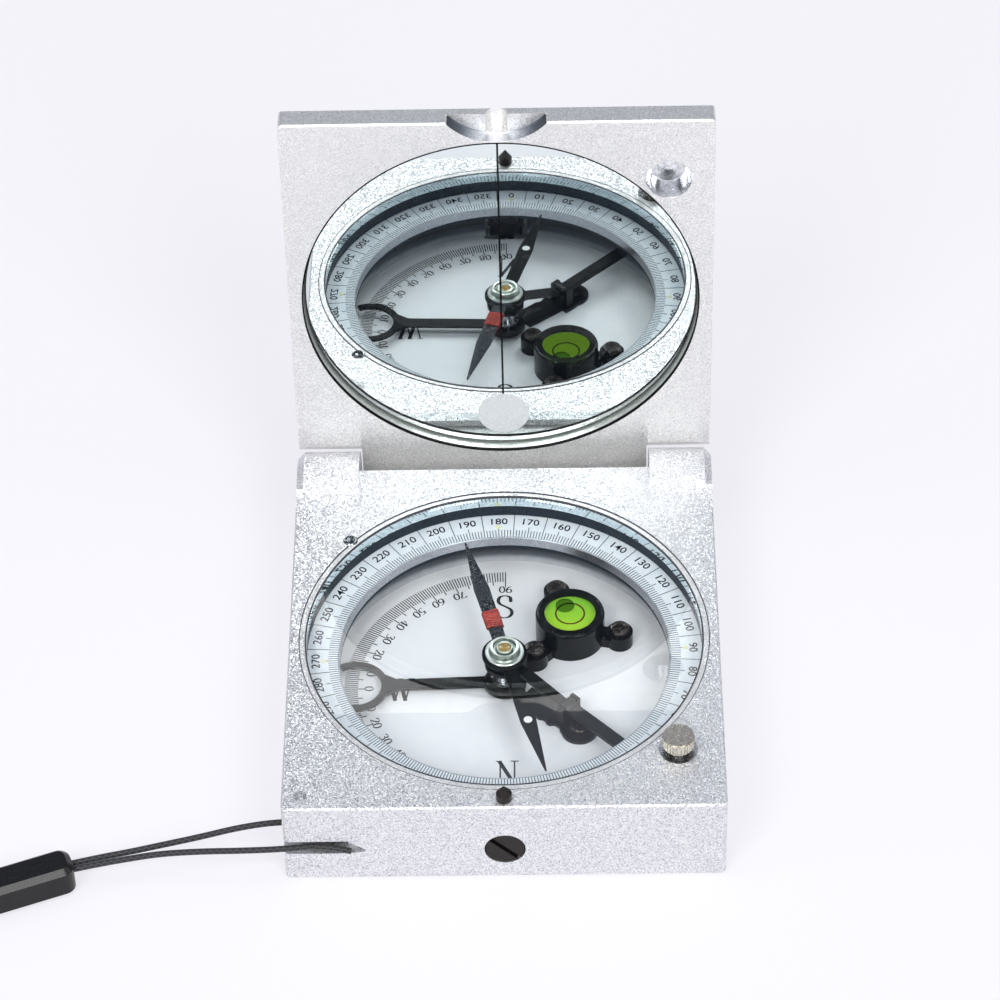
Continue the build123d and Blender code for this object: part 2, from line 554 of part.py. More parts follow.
# ================================================================= lever and button
def build_lever():
    z0, z1 = LEVER_Z - LEVER_T / 2, LEVER_Z + LEVER_T / 2
    outer = bar((KINK_X, KINK_Y), (KNOB_X + UX * 1.4, KNOB_Y + UY * 1.4), LEVER_W, z0, z1)
    knee = cyl(LEVER_W / 2, z0, z1, KINK_X, KINK_Y)
    s_kink = math.hypot(KINK_X, KINK_Y)
    a = math.degrees(math.atan2(KINK_Y, KINK_X))
    f0, f1 = FORK_Z - LEVER_T / 2, FORK_Z + LEVER_T / 2
    m = 0.5 * (FORK_OUT_R + FORK_IN_R)
    side = [(m, f0), (4.2, f0), (s_kink - 1.6, z0), (s_kink, z0), (s_kink, z1), (s_kink - 1.4, z1), (4.4, f1), (m, f1)]
    inner = Rot(0, 0, a) * front_prism(side, -LEVER_INNER_W / 2, LEVER_INNER_W / 2)
    inner -= cyl(FORK_IN_R, f0 - 1, f1 + 1)
    ring = tube(FORK_OUT_R, FORK_IN_R, f0, f1)
    boss = Pos(FX, FY, LEVER_Z) * (Rot(0, 0, math.degrees(OUT)) * (Rot(90, 0, 0) * Cylinder(1.15, LEVER_W)))
    hole = Pos(FX, FY, LEVER_Z) * (Rot(0, 0, math.degrees(OUT)) * (Rot(90, 0, 0) * Cylinder(FULCRUM_R + FIT, LEVER_W + 2)))
    keep("lift_lever", outer + knee + inner + ring + boss - hole)


def build_button():
    z0 = CASE_H + KNOB_RISE
    pts = []
    for i in range(KNOB_FLUTES):
        a = 2 * math.pi * i / KNOB_FLUTES
        b = 2 * math.pi * (i + 0.5) / KNOB_FLUTES
        pts.append((KNOB_X + KNOB_R * math.cos(a), KNOB_Y + KNOB_R * math.sin(a)))
        pts.append((KNOB_X + (KNOB_R - 0.16) * math.cos(b), KNOB_Y + (KNOB_R - 0.16) * math.sin(b)))
    knob = plan_prism(pts, z0 + 0.2, z0 + KNOB_H - 0.2)
    knob += cyl(KNOB_R - 0.17, z0, z0 + KNOB_H, KNOB_X, KNOB_Y)
    knob -= cyl(ROD_R, z0 - 1, z0 + 1.2, KNOB_X, KNOB_Y)
    keep("button_knob", knob)
    foot = LEVER_Z + LEVER_T / 2 + 0.06
    rod = cyl(ROD_R, foot + 0.5, z0 + 1.2, KNOB_X, KNOB_Y)
    rod += Pos(KNOB_X, KNOB_Y, foot + 0.25) * Cone(0.6, ROD_R, 0.5)
    c1 = CASE_H - BUSH_L - 0.1
    rod += tube(ROD_COLLAR_R, ROD_R - 0.1, c1 - 0.5, c1, KNOB_X, KNOB_Y)
    keep("button_rod", rod)
    keep("button_spring", tube(SPRING_R, SPRING_IN_R, SHELF_TOP + 0.02, c1 - 0.52, KNOB_X, KNOB_Y))


# ================================================================= graduated ring and adjuster
def build_ring():
    z0 = RING_TOP - RING_T
    ring = tube(RING_OUT_R, RING_IN_R, z0, RING_TOP)
    ring += tube(RING_IN_R + RING_LIP_T, RING_IN_R, z0 - RING_LIP_DROP, z0)
    ring += tube(RING_OUT_R, RING_OUT_R - RING_SKIRT_T, RING_SEAT_Z + RING_FLOAT, z0)
    keep("azimuth_ring", ring)

    flat = RegularPolygon(GEAR_OUT_R, GEAR_TEETH) - RegularPolygon(GEAR_IN_R, GEAR_TEETH)
    plate = Pos(0, 0, GEAR_ROOT) * extrude(flat, amount=GEAR_PLATE_T)
    gear = plate
    step = 2 * math.pi / GEAR_TEETH
    teeth = []
    for i in range(GEAR_TEETH):
        a = -math.pi / 2 + (i + 0.5) * step
        rin, rout = GEAR_IN_R + 0.1, GEAR_OUT_R - 0.12
        c, s = math.cos(a), math.sin(a)
        teeth.append(bar((rin * c, rin * s), (rout * c, rout * s), GEAR_TOOTH_W, GEAR_TIP, GEAR_ROOT))
    gear = gear.fuse(*teeth)
    keep("ring_gear", gear)


def build_adjuster():
    y_head = -CASE_FRONT + 0.05
    y_back = y_head + ADJ_HEAD_T - 0.05
    y_pin0 = PINION_OUT
    y_pin1 = PINION_OUT + PINION_L
    s = ycyl(ADJ_HEAD_R, y_head, y_back, 0, ADJ_Z)
    s = chamfer(s.edges().filter_by(GeomType.CIRCLE).sort_by(Axis.Y)[0], 0.15)
    slot = Pos(0, y_head, ADJ_Z) * (Rot(0, 45, 0) * Box(2 * ADJ_HEAD_R + 1, 2 * ADJ_SLOT_D, ADJ_SLOT_W))
    s -= slot
    s += ycyl(ADJ_SHAFT_R, y_back, y_pin0 - 0.02, 0, ADJ_Z)
    s += Pos(0, 0.5 * (y_pin0 + y_pin1) + 0.09, ADJ_Z) * Box(ADJ_SQ, y_pin1 - y_pin0 + 0.22, ADJ_SQ)
    keep("adjuster_screw", s)
    clip = ycyl(ADJ_CLIP_R, POCKET_OUT + 0.1, POCKET_OUT + 0.1 + ADJ_CLIP_T, 0, ADJ_Z) - ycyl(ADJ_SHAFT_R, -CASE_FRONT, 0, 0, ADJ_Z)
    clip -= box(-1.0, 1.0, -CASE_FRONT, 0, ADJ_Z - 4, ADJ_Z)
    keep("adjuster_clip", clip)
    pts = []
    rt, rr = PINION_PITCH_R + PINION_ADD, PINION_PITCH_R - PINION_DED
    step = 2 * math.pi / PINION_TEETH
    for i in range(PINION_TEETH):
        a = math.pi / 2 + i * step
        for r, w in ((rr, 0.50), (rt, 0.20), (rt, -0.20), (rr, -0.50)):
            b = a - math.asin(w / r)
            pts.append((r * math.cos(b), r * math.sin(b)))
    pts = [(x, ADJ_Z + z) for x, z in pts]
    pin = front_prism(pts, y_pin0, y_pin1)
    pin -= Pos(0, 0.5 * (y_pin0 + y_pin1), ADJ_Z) * Box(ADJ_SQ, PINION_L + 1, ADJ_SQ)
    keep("adjuster_pinion", pin)


# ================================================================= lid
def lid_turn(s):
    """From shut to the open stand."""
    return s.rotate(Axis((0, HINGE_Y, HINGE_Z), (1, 0, 0)), -LID_OPEN)


def build_lid():
    z0, z1 = FACE_Z, FACE_Z + LID_T
    yr = HINGE_Y + LID_REAR
    lid = box(-HALF_W, HALF_W, -CASE_FRONT, yr, z0, z1)
    lid = fillet(lid.edges().filter_by(Axis.Z).group_by(Axis.Y)[0], CORNER_R)
    # back edges bevelled on the free edge and both sides
    c = LID_BACK_CHAMFER
    lid -= side_prism([(-CASE_FRONT - 0.01, z1 - c), (-CASE_FRONT + c, z1 + 0.01), (-CASE_FRONT + c, z1 + 1), (-CASE_FRONT - 1, z1 + 1), (-CASE_FRONT - 1, z1 - c)], -HALF_W - 1, HALF_W + 1)
    for s in (1, -1):
        wedge = [(HALF_W + 0.01, z1 - c), (HALF_W - c, z1 + 0.01), (HALF_W - c, z1 + 1), (HALF_W + 1, z1 + 1), (HALF_W + 1, z1 - c)]
        lid -= front_prism([(s * x, z) for x, z in wedge], -CASE_FRONT - 1, yr + 1)
    lid = chamfer([e for e in lid.faces().sort_by(Axis.Z)[0].edges() if e.center().Y < yr - 1], EDGE * 0.6)
    # rear corners clear the ears
    wx = EAR_IN_X - LID_SIDE_GAP
    for s in (1, -1):
        x0, x1 = (wx, HALF_W + 1) if s > 0 else (-HALF_W - 1, -wx)
        lid -= xcyl(LID_CUT_R, x0, x1, HINGE_Y, HINGE_Z)
        lid -= box(x0, x1, HINGE_Y - LID_CUT_Y, yr + 5, z0 - 1, z1 + 1)
    # round outer edge at the rear
    rear_edge = lid.edges().filter_by(Axis.X).sort_by(lambda e: e.center().Y + e.center().Z)[-1]
    lid = fillet(rear_edge, LID_REAR_R)
    # web down to the knuckle
    web_y = CASE_REAR + GAP
    lid += box(-wx, wx, web_y, yr, HINGE_Z, z0 + 0.5)
    lid += xcyl(KNUCKLE_R, -wx, wx, HINGE_Y, HINGE_Z)
    for s in (1, -1):
        x0, x1 = (PIN_IN_X - 0.5, HALF_W) if s > 0 else (-HALF_W, -PIN_IN_X + 0.5)
        lid -= xcyl(PIN_R + FIT, x0, x1, HINGE_Y, HINGE_Z)
    # mirror seat
    lid -= cyl(MIRROR_R + 0.1, z0 - 1, z0 + MIRROR_SINK + MIRROR_T + BACKING_T, 0, MIRROR_Y)
    # half-moon pocket with a sighting groove
    cy = -CASE_FRONT + POCKET_IN - POCKET_W_R
    lid -= cyl(POCKET_W_R, z0 - 1, z0 + POCKET_D, 0, cy)
    lid -= ycyl(GROOVE_R, -CASE_FRONT - 1, -CASE_FRONT + POCKET_IN - 0.5, 0, z0 + POCKET_D)
    # cup over the brake knob
    lid -= cyl(CUP_R, z0 - 1, z0 + CUP_D - 1.6, KNOB_X, KNOB_Y)
    lid -= Pos(KNOB_X, KNOB_Y, z0 + CUP_D - 0.8) * Cone(CUP_R, KNOB_R + 0.35, 1.6)
    keep("lid_frame", lid_turn(lid))
    m0 = z0 + MIRROR_SINK
    mir = cyl(MIRROR_R, m0, m0 + MIRROR_T, 0, MIRROR_Y)
    mir = chamfer(mir.edges().filter_by(GeomType.CIRCLE).group_by(Axis.Z)[0], 0.3)
    keep("mirror_glass", lid_turn(mir))
    keep("mirror_backing", lid_turn(cyl(MIRROR_R, m0 + MIRROR_T, m0 + MIRROR_T + BACKING_T, 0, MIRROR_Y)))


# ================================================================= lanyard
def cord(points, dia, name):
    pts = [Vector(*p) for p in points]
    radii = []
    for i in range(1, len(pts) - 1):
        a, b = pts[i] - pts[i - 1], pts[i + 1] - pts[i]
        turn = math.radians(a.get_angle(b))
        radii.append(0.45 * min(a.length, b.length) / math.tan(turn / 2))
    path = FilletPolyline(*pts, radius=radii)
    start = Plane(origin=pts[0], z_dir=pts[1] - pts[0])
    solid = sweep(start * Circle(dia / 2), path=path)
    area = math.pi * dia * dia / 4
    print(name, "length %.2f" % path.length, "radii", [round(r, 2) for r in radii], "volume ratio %.5f" % (solid.volume / (area * path.length)))
    return solid


AX = (-0.932, -0.362)                         # the barrel lies on the table along this line
NOSE = (-70.7, -38.0)
B_AXIS_Z = 3.4
STRAND_B = [(-30.4, -32.35, 7.75), (-36.6, -32.3, 7.7), (-43.3, -33.0, 7.2), (-49.8, -34.3, 6.4), (-56.3, -35.4, 5.7),
            (-61.6, -36.2, 5.0), (-66.4, -36.75, 4.4), (-71.4, -37.55, 3.75)]
STRAND_A = [(-30.4, -32.35, 7.75), (-27.9, -32.37, 7.77), (-26.5, -34.6, 7.75), (-27.7, -37.1, 7.75), (-31.3, -37.75, 7.75), (-36.6, -38.2, 7.6),
            (-43.1, -37.9, 7.0), (-49.7, -37.25, 6.2), (-56.3, -37.05, 5.5), (-61.6, -37.5, 4.85), (-66.4, -38.05, 4.3), (-71.3, -38.85, 3.75)]


def build_lanyard():
    keep("lanyard_strand_b", cord(STRAND_B, CORD_D, "strand b"))
    keep("lanyard_strand_a", cord(STRAND_A, CORD_D, "strand a"))
    yaw = math.degrees(math.atan2(AX[1], AX[0]))
    b = Box(BARREL_L, BARREL_W, BARREL_H)
    b = fillet(b.edges().filter_by(Axis.Z), 2.0)
    b = chamfer(b.faces().sort_by(Axis.Z)[-1].edges(), BARREL_EDGE)
    b = chamfer(b.faces().sort_by(Axis.Z)[0].edges(), BARREL_EDGE)
    b = Pos(NOSE[0] + AX[0] * BARREL_L / 2, NOSE[1] + AX[1] * BARREL_L / 2, BARREL_H / 2) * (Rot(0, 0, yaw) * b)
    keep("lanyard_barrel", b)
    ex, ey = NOSE[0] + AX[0] * (BARREL_L - 0.4), NOSE[1] + AX[1] * (BARREL_L - 0.4)
    wp = [(ex, ey, B_AXIS_Z), (ex - 8.0, ey - 3.6, 3.2), (ex - 16.0, ey - 8.4, 2.4), (ex - 23.2, ey - 14.4, 1.9), (ex - 28.6, ey - 21.8, 1.9)]
    keep("wrist_cord_lead", cord(wp, WRIST_D, "wrist lead"))
    a, e = Vector(*wp[-2]), Vector(*wp[-1])
    d = (e - a).normalized()
    cx = e.X + d.X * 0.0 - d.Y * (COIL_R - WRIST_D / 2 - 0.2) * -1
    cy = e.Y + d.Y * 0.0 + d.X * (COIL_R - WRIST_D / 2 - 0.2) * -1
    coil = tube(COIL_R, COIL_HOLE_R, 0.1, COIL_H, cx, cy)
    coil = fillet(coil.edges().filter_by(GeomType.CIRCLE), 1.6)
    # flat side where the lead runs into the hank
    n = Vector(d.X, d.Y, 0).normalized()
    cutter = Pos(e.X - n.X * 10, e.Y - n.Y * 10, 3) * (Rot(0, 0, math.degrees(math.atan2(n.Y, n.X))) * Box(20, WRIST_D + 0.6, 12))
    keep("wrist_cord_coil", coil - cutter)
    print("coil centre", round(cx, 2), round(cy, 2))


def build_all():
    build_case()
    build_case_fittings()
    build_level()
    build_bracket()
    build_pointer()
    build_needle()
    build_lever()
    build_button()
    build_ring()
    build_adjuster()
    build_lid()
    build_lanyard()


if __name__ == "__main__":
    build_all()
    os.makedirs("parts", exist_ok=True)
    for name, shape in PARTS.items():
        solids = shape.solids()
        out = solids[0] if len(solids) == 1 else Compound(children=list(solids))
        export_step(out, "parts/%s.step" % name)
    print(len(PARTS), "nodes; fulcrum", round(FX, 3), round(FY, 3), "adjuster z", round(ADJ_Z, 3))
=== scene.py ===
# %% [markdown]
# # A pocket geology compass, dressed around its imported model
# The real thing is a square die-cast case with a hinged mirror lid. Under a glass sit
# a needle, a turning degree ring, a plumb pointer with its own scale, and a round level.
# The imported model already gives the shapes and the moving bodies, so this script adds
# what the model leaves out: printing, wire, braid, silvering and every surface finish.

# %% Load the frame and write down its box
import math

import bmesh
import bpy
from mathutils import Matrix, Vector


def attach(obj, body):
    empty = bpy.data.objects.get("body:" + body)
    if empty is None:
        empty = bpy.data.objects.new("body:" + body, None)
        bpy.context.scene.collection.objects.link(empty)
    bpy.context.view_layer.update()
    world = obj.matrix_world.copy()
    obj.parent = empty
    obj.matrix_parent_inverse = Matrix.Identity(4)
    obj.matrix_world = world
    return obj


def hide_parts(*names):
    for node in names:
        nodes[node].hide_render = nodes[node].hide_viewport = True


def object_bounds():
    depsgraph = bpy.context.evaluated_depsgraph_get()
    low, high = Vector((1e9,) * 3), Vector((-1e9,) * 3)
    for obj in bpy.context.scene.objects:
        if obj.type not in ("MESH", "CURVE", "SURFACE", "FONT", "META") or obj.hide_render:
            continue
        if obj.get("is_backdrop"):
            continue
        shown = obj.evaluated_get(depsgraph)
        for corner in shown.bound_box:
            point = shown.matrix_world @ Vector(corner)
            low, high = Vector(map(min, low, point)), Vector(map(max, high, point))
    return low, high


MM = 0.001
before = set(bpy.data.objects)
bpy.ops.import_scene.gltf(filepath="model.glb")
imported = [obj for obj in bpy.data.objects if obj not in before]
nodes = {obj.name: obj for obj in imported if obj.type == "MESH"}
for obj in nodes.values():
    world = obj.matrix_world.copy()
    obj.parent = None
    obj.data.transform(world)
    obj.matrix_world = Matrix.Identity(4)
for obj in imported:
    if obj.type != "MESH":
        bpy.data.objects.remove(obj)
scene = bpy.context.scene


def plain(value):
    """Nested vectors as plain lists of numbers."""
    if isinstance(value, (int, float)):
        return float(value)
    return [plain(part) for part in value]


cad_box = plain(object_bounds())
print("model box, in metres:", cad_box)

# %% [markdown]
# ## Small helpers
# Colours are picked as sRGB hex values, as a paint chart gives them, but the renderer
# works in linear light, so one function turns them. One function adds a node with its
# settings and links, for materials and for Geometry Nodes alike.


# %% Colour and node helpers
def linear(code):
    """#RRGGBB as linear red, green, blue and an alpha of 1."""
    parts = [int(code[i : i + 2], 16) / 255 for i in (1, 3, 5)]
    return [p / 12.92 if p <= 0.04045 else ((p + 0.055) / 1.055) ** 2.4 for p in parts] + [1.0]


def add(tree, kind, inputs=None, **settings):
    """Adds a node to a tree. An input is a value, or the output socket that feeds it."""
    made = tree.nodes.new(kind)
    for key, value in settings.items():
        setattr(made, key, value)
    for key, value in (inputs or {}).items():
        if isinstance(value, bpy.types.NodeSocket):
            tree.links.new(value, made.inputs[key])
        else:
            made.inputs[key].default_value = value
    return made


def numbered(*values):
    """Values by the number of their input, leaving out each None."""
    return {i: v for i, v in enumerate(values) if v is not None}


def calc(tree, operation, *values):
    """A maths node's result."""
    return add(tree, "ShaderNodeMath", numbered(*values), operation=operation).outputs[0]


def vector(tree, operation, *values, out=0):
    """A vector maths node's result: output 0 is a vector, "Value" a number."""
    made = add(tree, "ShaderNodeVectorMath", numbered(*values), operation=operation)
    return made.outputs[out]


def triple(tree, *values):
    """Joins numbers or sockets into a vector. None leaves a 0."""
    return add(tree, "ShaderNodeCombineXYZ", numbered(*values)).outputs[0]


def geometry(tree, kind, **inputs):
    """Adds a geometry node and returns its geometry."""
    return add(tree, "GeometryNode" + kind, inputs).outputs[0]


def part_of(tree, place, axis):
    """One coordinate of a place."""
    return add(tree, "ShaderNodeSeparateXYZ", {"Vector": place}).outputs[axis]


def bare_material(name):
    """A material with an empty tree."""
    made = bpy.data.materials.new(name)
    made.use_nodes = True
    made.node_tree.nodes.clear()
    return made, made.node_tree


def finish_of(name, colour, metallic, roughness, **more):
    """A Principled material. more gives other sockets, with _ for the spaces in their names."""
    made, tree = bare_material(name)
    sockets = {"Base Color": linear(colour), "Metallic": metallic, "Roughness": roughness}
    sockets.update({key.replace("_", " "): value for key, value in more.items()})
    shader = add(tree, "ShaderNodeBsdfPrincipled", sockets)
    add(tree, "ShaderNodeOutputMaterial", {"Surface": shader.outputs[0]})
    return made, tree, shader


def ramp(tree, fac, stops):
    """A colour ramp with stops of (place, hex colour)."""
    made = add(tree, "ShaderNodeValToRGB", {"Fac": fac})
    band = made.color_ramp
    while len(band.elements) < len(stops):
        band.elements.new(0.5)
    for element, (place, colour) in zip(band.elements, stops):
        element.position = place
        element.color = linear(colour)
    return made.outputs["Color"]


def object_place(tree, scale=(1, 1, 1), move=(0, 0, 0)):
    """Object coordinates, moved and then scaled."""
    place = add(tree, "ShaderNodeTexCoord").outputs["Object"]
    return vector(tree, "MULTIPLY", vector(tree, "SUBTRACT", place, move), scale)


def grain(tree, size_mm, detail=2.0, place=None):
    """Noise whose blotches are about size_mm across."""
    place = place or object_place(tree)
    settings = {"Vector": place, "Scale": 1 / (size_mm * MM), "Detail": detail}
    return add(tree, "ShaderNodeTexNoise", settings).outputs["Fac"]


def bumped(tree, shader, height, depth_mm, strength):
    """Feeds a height pattern to a shader as bump."""
    settings = {"Height": height, "Distance": depth_mm * MM, "Strength": strength}
    bump = add(tree, "ShaderNodeBump", settings)
    tree.links.new(bump.outputs["Normal"], shader.inputs["Normal"])


def spread(tree, fac, low, high):
    """A 0 to 1 pattern stretched to run from low to high."""
    settings = {"Value": fac, "To Min": low, "To Max": high}
    return add(tree, "ShaderNodeMapRange", settings).outputs["Result"]


def unit(tree, value, low, high):
    """A value that runs from low to high, brought to 0 to 1."""
    settings = {"Value": value, "From Min": low, "From Max": high}
    return add(tree, "ShaderNodeMapRange", settings).outputs["Result"]


def painted(tree, shader, fac, stops):
    """Colours a shader by a ramp."""
    tree.links.new(ramp(tree, fac, stops), shader.inputs["Base Color"])


# %% [markdown]
# ## Camera
# The compass is seen from in front and above, through a long lens, so that its square
# case hardly narrows towards the hinge. A long lens from far away does that; a short
# one close by would make the lid look much smaller than the case.

# %% Camera
EYE = Vector((9.603, -477.785, 517.095)) * MM
PITCH, YAW, ROLL = math.radians(44.412), math.radians(1.16), math.radians(-1.547)
FOCAL_SHARE = 4.1340  # focal length over the picture's width
SENSOR = 36.0

turn = Matrix.Rotation(YAW, 3, "Z")
flat_right = turn @ Vector((1, 0, 0))
ahead = turn @ Vector((0, math.cos(PITCH), -math.sin(PITCH)))
flat_up = turn @ Vector((0, math.sin(PITCH), math.cos(PITCH)))
right = flat_right * math.cos(ROLL) + flat_up * math.sin(ROLL)
up = flat_up * math.cos(ROLL) - flat_right * math.sin(ROLL)
camera = bpy.data.objects.new("camera", bpy.data.cameras.new("camera"))
scene.collection.objects.link(camera)
camera.matrix_world = Matrix.Translation(EYE) @ Matrix((right, up, -ahead)).transposed().to_4x4()
camera.data.sensor_width = SENSOR
camera.data.lens = FOCAL_SHARE * SENSOR
camera.data.clip_start = 0.01
camera.data.clip_end = 20
scene.camera = camera
print("lens", round(camera.data.lens, 1), "mm")

# %% [markdown]
# ## Floor and light
# A product table has no edges in view: the floor runs on far past the picture, and a
# nearly white world lights it evenly. Large lamps give the metal something to reflect.

# %% Floor and light
FLOOR_SIDE, FLOOR_DROP = 6.0, 0.05  # in metres, and in mm
floor_data = bpy.data.meshes.new("table")
half = FLOOR_SIDE / 2
floor_data.from_pydata(
    [(-half, -half, 0), (half, -half, 0), (half, half, 0), (-half, half, 0)], [], [(0, 1, 2, 3)]
)
floor = bpy.data.objects.new("table", floor_data)
scene.collection.objects.link(floor)
floor.location.z = -FLOOR_DROP * MM
# a backlit acrylic table: half its brightness is its own, so shadows on it stay faint
table_paint = finish_of(
    "backlit_table", "#8E8D92", 0, 0.9, Emission_Color=linear("#F7F6FB"), Emission_Strength=0.68
)[0]
floor_data.materials.append(table_paint)
floor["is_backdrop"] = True

world = bpy.data.worlds.new("studio")
scene.world = world
world.use_nodes = True
sky = world.node_tree
sky.nodes.clear()
way = add(sky, "ShaderNodeTexCoord").outputs["Generated"]
GAP_WAY = (0, -0.707, 0.707)  # the dark gap is in front, half way up
gap = vector(sky, "DOT_PRODUCT", way, GAP_WAY, out="Value")
room = ramp(sky, part_of(sky, way, "Y"), [(0.0, "#B4B4B6"), (0.1, "#9FA1A5"), (0.7, "#9BA0AE")])
ceiling = ramp(sky, part_of(sky, way, "Z"), [(0.0, "#A0A0A0"), (0.55, "#BCBCBC"), (1.0, "#FFFFFF")])
dark_gap = ramp(sky, gap, [(0.75, "#FFFFFF"), (0.93, "#565D6C")])
glow = vector(sky, "MULTIPLY", vector(sky, "MULTIPLY", room, ceiling), dark_gap)
lit = add(sky, "ShaderNodeBackground", {"Color": glow, "Strength": 1.6})
add(sky, "ShaderNodeOutputWorld", {"Surface": lit.outputs[0]})
scene.view_settings.view_transform = "Standard"


def lamp(name, place_mm, target_mm, size_mm, radiance, colour="#FFFFFF", tall_mm=None):
    """A softbox facing its target. Its power comes from how bright its face looks."""
    data = bpy.data.lights.new(name, "AREA")
    tall = tall_mm or size_mm
    data.shape = "RECTANGLE"
    data.size, data.size_y = size_mm * MM, tall * MM
    data.energy = radiance * math.pi * size_mm * tall * MM * MM
    data.color = linear(colour)[:3]
    made = bpy.data.objects.new(name, data)
    scene.collection.objects.link(made)
    place, target = Vector(place_mm) * MM, Vector(target_mm) * MM
    made.location = place
    made.rotation_euler = (target - place).to_track_quat("-Z", "Y").to_euler()
    print(name, round(data.energy, 2), "W")


# two boxes with a dark gap between them: glass and mirror see the gap and stay clear,
# while the grainy paint scatters enough to catch both
for side, name in ((-1, "left_softbox"), (1, "right_softbox")):
    lamp(name, (side * 480, -880, 1000), (0, 20, 30), 520, 8.7, tall_mm=650)
lamp("overhead_box", (0, 0, 330), (0, 35, 20), 260, 1.5, tall_mm=110)
lamp("left_strip", (-800, -150, 350), (0, 0, 20), 250, 1.8, tall_mm=700)
lamp("right_strip", (800, -150, 350), (0, 0, 20), 250, 1.8, tall_mm=700)

# %% [markdown]
# ## Lanyard cords
# The carrying cord is round braided nylon. Two strands of one loop leave the slot in
# the case's corner, meet, and enter a black toggle barrel; a thicker wrist cord goes on
# from the barrel's other end and is put away as a flat coil. Each route is a smooth
# spline. Along it a tube is swept whose radius rises and falls as crossing yarns do, so
# the braid is a real shape and not only a shading trick.

# %% Routes
STRAND_B = [
    (-30.4, -32.35, 7.75), (-36.6, -32.3, 7.7), (-43.3, -33.0, 7.2), (-49.8, -34.3, 6.4),
    (-56.3, -35.4, 5.7), (-61.6, -36.2, 5.0), (-66.4, -36.75, 4.4), (-71.4, -37.55, 3.75),
]
STRAND_A = [
    (-30.4, -32.35, 7.75), (-27.9, -32.37, 7.77), (-26.5, -34.6, 7.75), (-27.7, -37.1, 7.75),
    (-31.3, -37.75, 7.75), (-36.6, -38.2, 7.6), (-43.1, -37.9, 7.0), (-49.7, -37.25, 6.2),
    (-56.3, -37.05, 5.5), (-61.6, -37.5, 4.85), (-66.4, -38.05, 4.3), (-71.3, -38.85, 3.75),
]
WRIST_LEAD = [
    (-90.83, -45.82, 3.4), (-98.83, -49.42, 3.2), (-106.83, -54.22, 2.4), (-114.03, -60.22, 1.9),
]
COIL_CENTRE, COIL_ENTRY = (-131.95, -58.48), (-119.43, -67.62)
COIL_R, COIL_GAP = 15.45, 2.55  # the outer turn, and from one turn to the next
COIL_LOW, COIL_CLIMB, COIL_OUT = 1.5, 2.5, 1.4  # first height, rise to the top turn, its shift
BIGHT = [
    (-31.0, -38.0, 7.95), (-29.6, -38.1, 7.95), (-28.4, -38.15, 7.85), (-27.2, -38.2, 7.6),
    (-26.0, -38.25, 7.3), (-25.0, -38.3, 7.05),
]
# width of the cord, yarns each way round and length of a yarn's turn, points around
STRAND, WRIST, KNOT = (1.05, 4, 1.1, 24), (2.6, 8, 3.2, 40), (1.5, 6, 2.4, 20)
STRAND_STEP, WRIST_STEP = 0.09, 0.24
YARN_CORE, YARN_RELIEF = 0.965, 0.035  # shares of the cord's radius


def coil_route():
    """A clockwise flat coil: three turns side by side and one on top."""
    start = math.atan2(COIL_ENTRY[1] - COIL_CENTRE[1], COIL_ENTRY[0] - COIL_CENTRE[0])
    points = []
    steps, turns = 14, 4
    for i in range(steps * turns + 1):
        t = i / steps
        angle = start - 2 * math.pi * t
        radius = COIL_R - COIL_GAP * min(t, 2.0) + COIL_OUT * min(1, max(0, (t - 2.4) / 0.5))
        rise = COIL_LOW + COIL_CLIMB * min(1, max(0, (t - 2.6) / 0.45))
        if 0.3 < t < 2.4:
            radius += 0.12 * math.sin(3 * angle + t)
        points.append((
            COIL_CENTRE[0] + radius * math.cos(angle),
            COIL_CENTRE[1] + radius * math.sin(angle),
            rise + 0.35 * max(0, 1 - t / 0.3),
        ))
    return points


def smooth_line(points_mm, step_mm):
    """Points at even steps along a smooth spline with these control points, in metres."""
    curve = bpy.data.curves.new("route", "CURVE")
    curve.dimensions = "3D"
    spline = curve.splines.new("NURBS")
    spline.points.add(len(points_mm) - 1)
    for point, place in zip(spline.points, points_mm):
        point.co = [c * MM for c in place] + [1]
    spline.order_u = 3
    spline.use_endpoint_u = True
    spline.resolution_u = 24
    holder = bpy.data.objects.new("route", curve)
    scene.collection.objects.link(holder)
    line = bpy.data.meshes.new_from_object(holder)
    raw = [v.co.copy() for v in line.vertices]
    bpy.data.objects.remove(holder)
    bpy.data.meshes.remove(line)
    reach = [0.0]
    for a, b in zip(raw, raw[1:]):
        reach.append(reach[-1] + (b - a).length)
    count = max(2, round(reach[-1] / (step_mm * MM)))
    even, k = [], 0
    for i in range(count + 1):
        want = reach[-1] * i / count
        while k < len(raw) - 2 and reach[k + 1] < want:
            k += 1
        span = max(1e-9, reach[k + 1] - reach[k])
        even.append(raw[k].lerp(raw[k + 1], min(1.0, (want - reach[k]) / span)))
    return even, reach[-1]


# %% Braided tubes
def new_piece(name, mesh, body, material=None):
    """Links a mesh whose place is already in it, and rides it on a body."""
    made = bpy.data.objects.new(name, mesh)
    scene.collection.objects.link(made)
    if material:
        mesh.materials.append(material)
    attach(made, body)
    return made


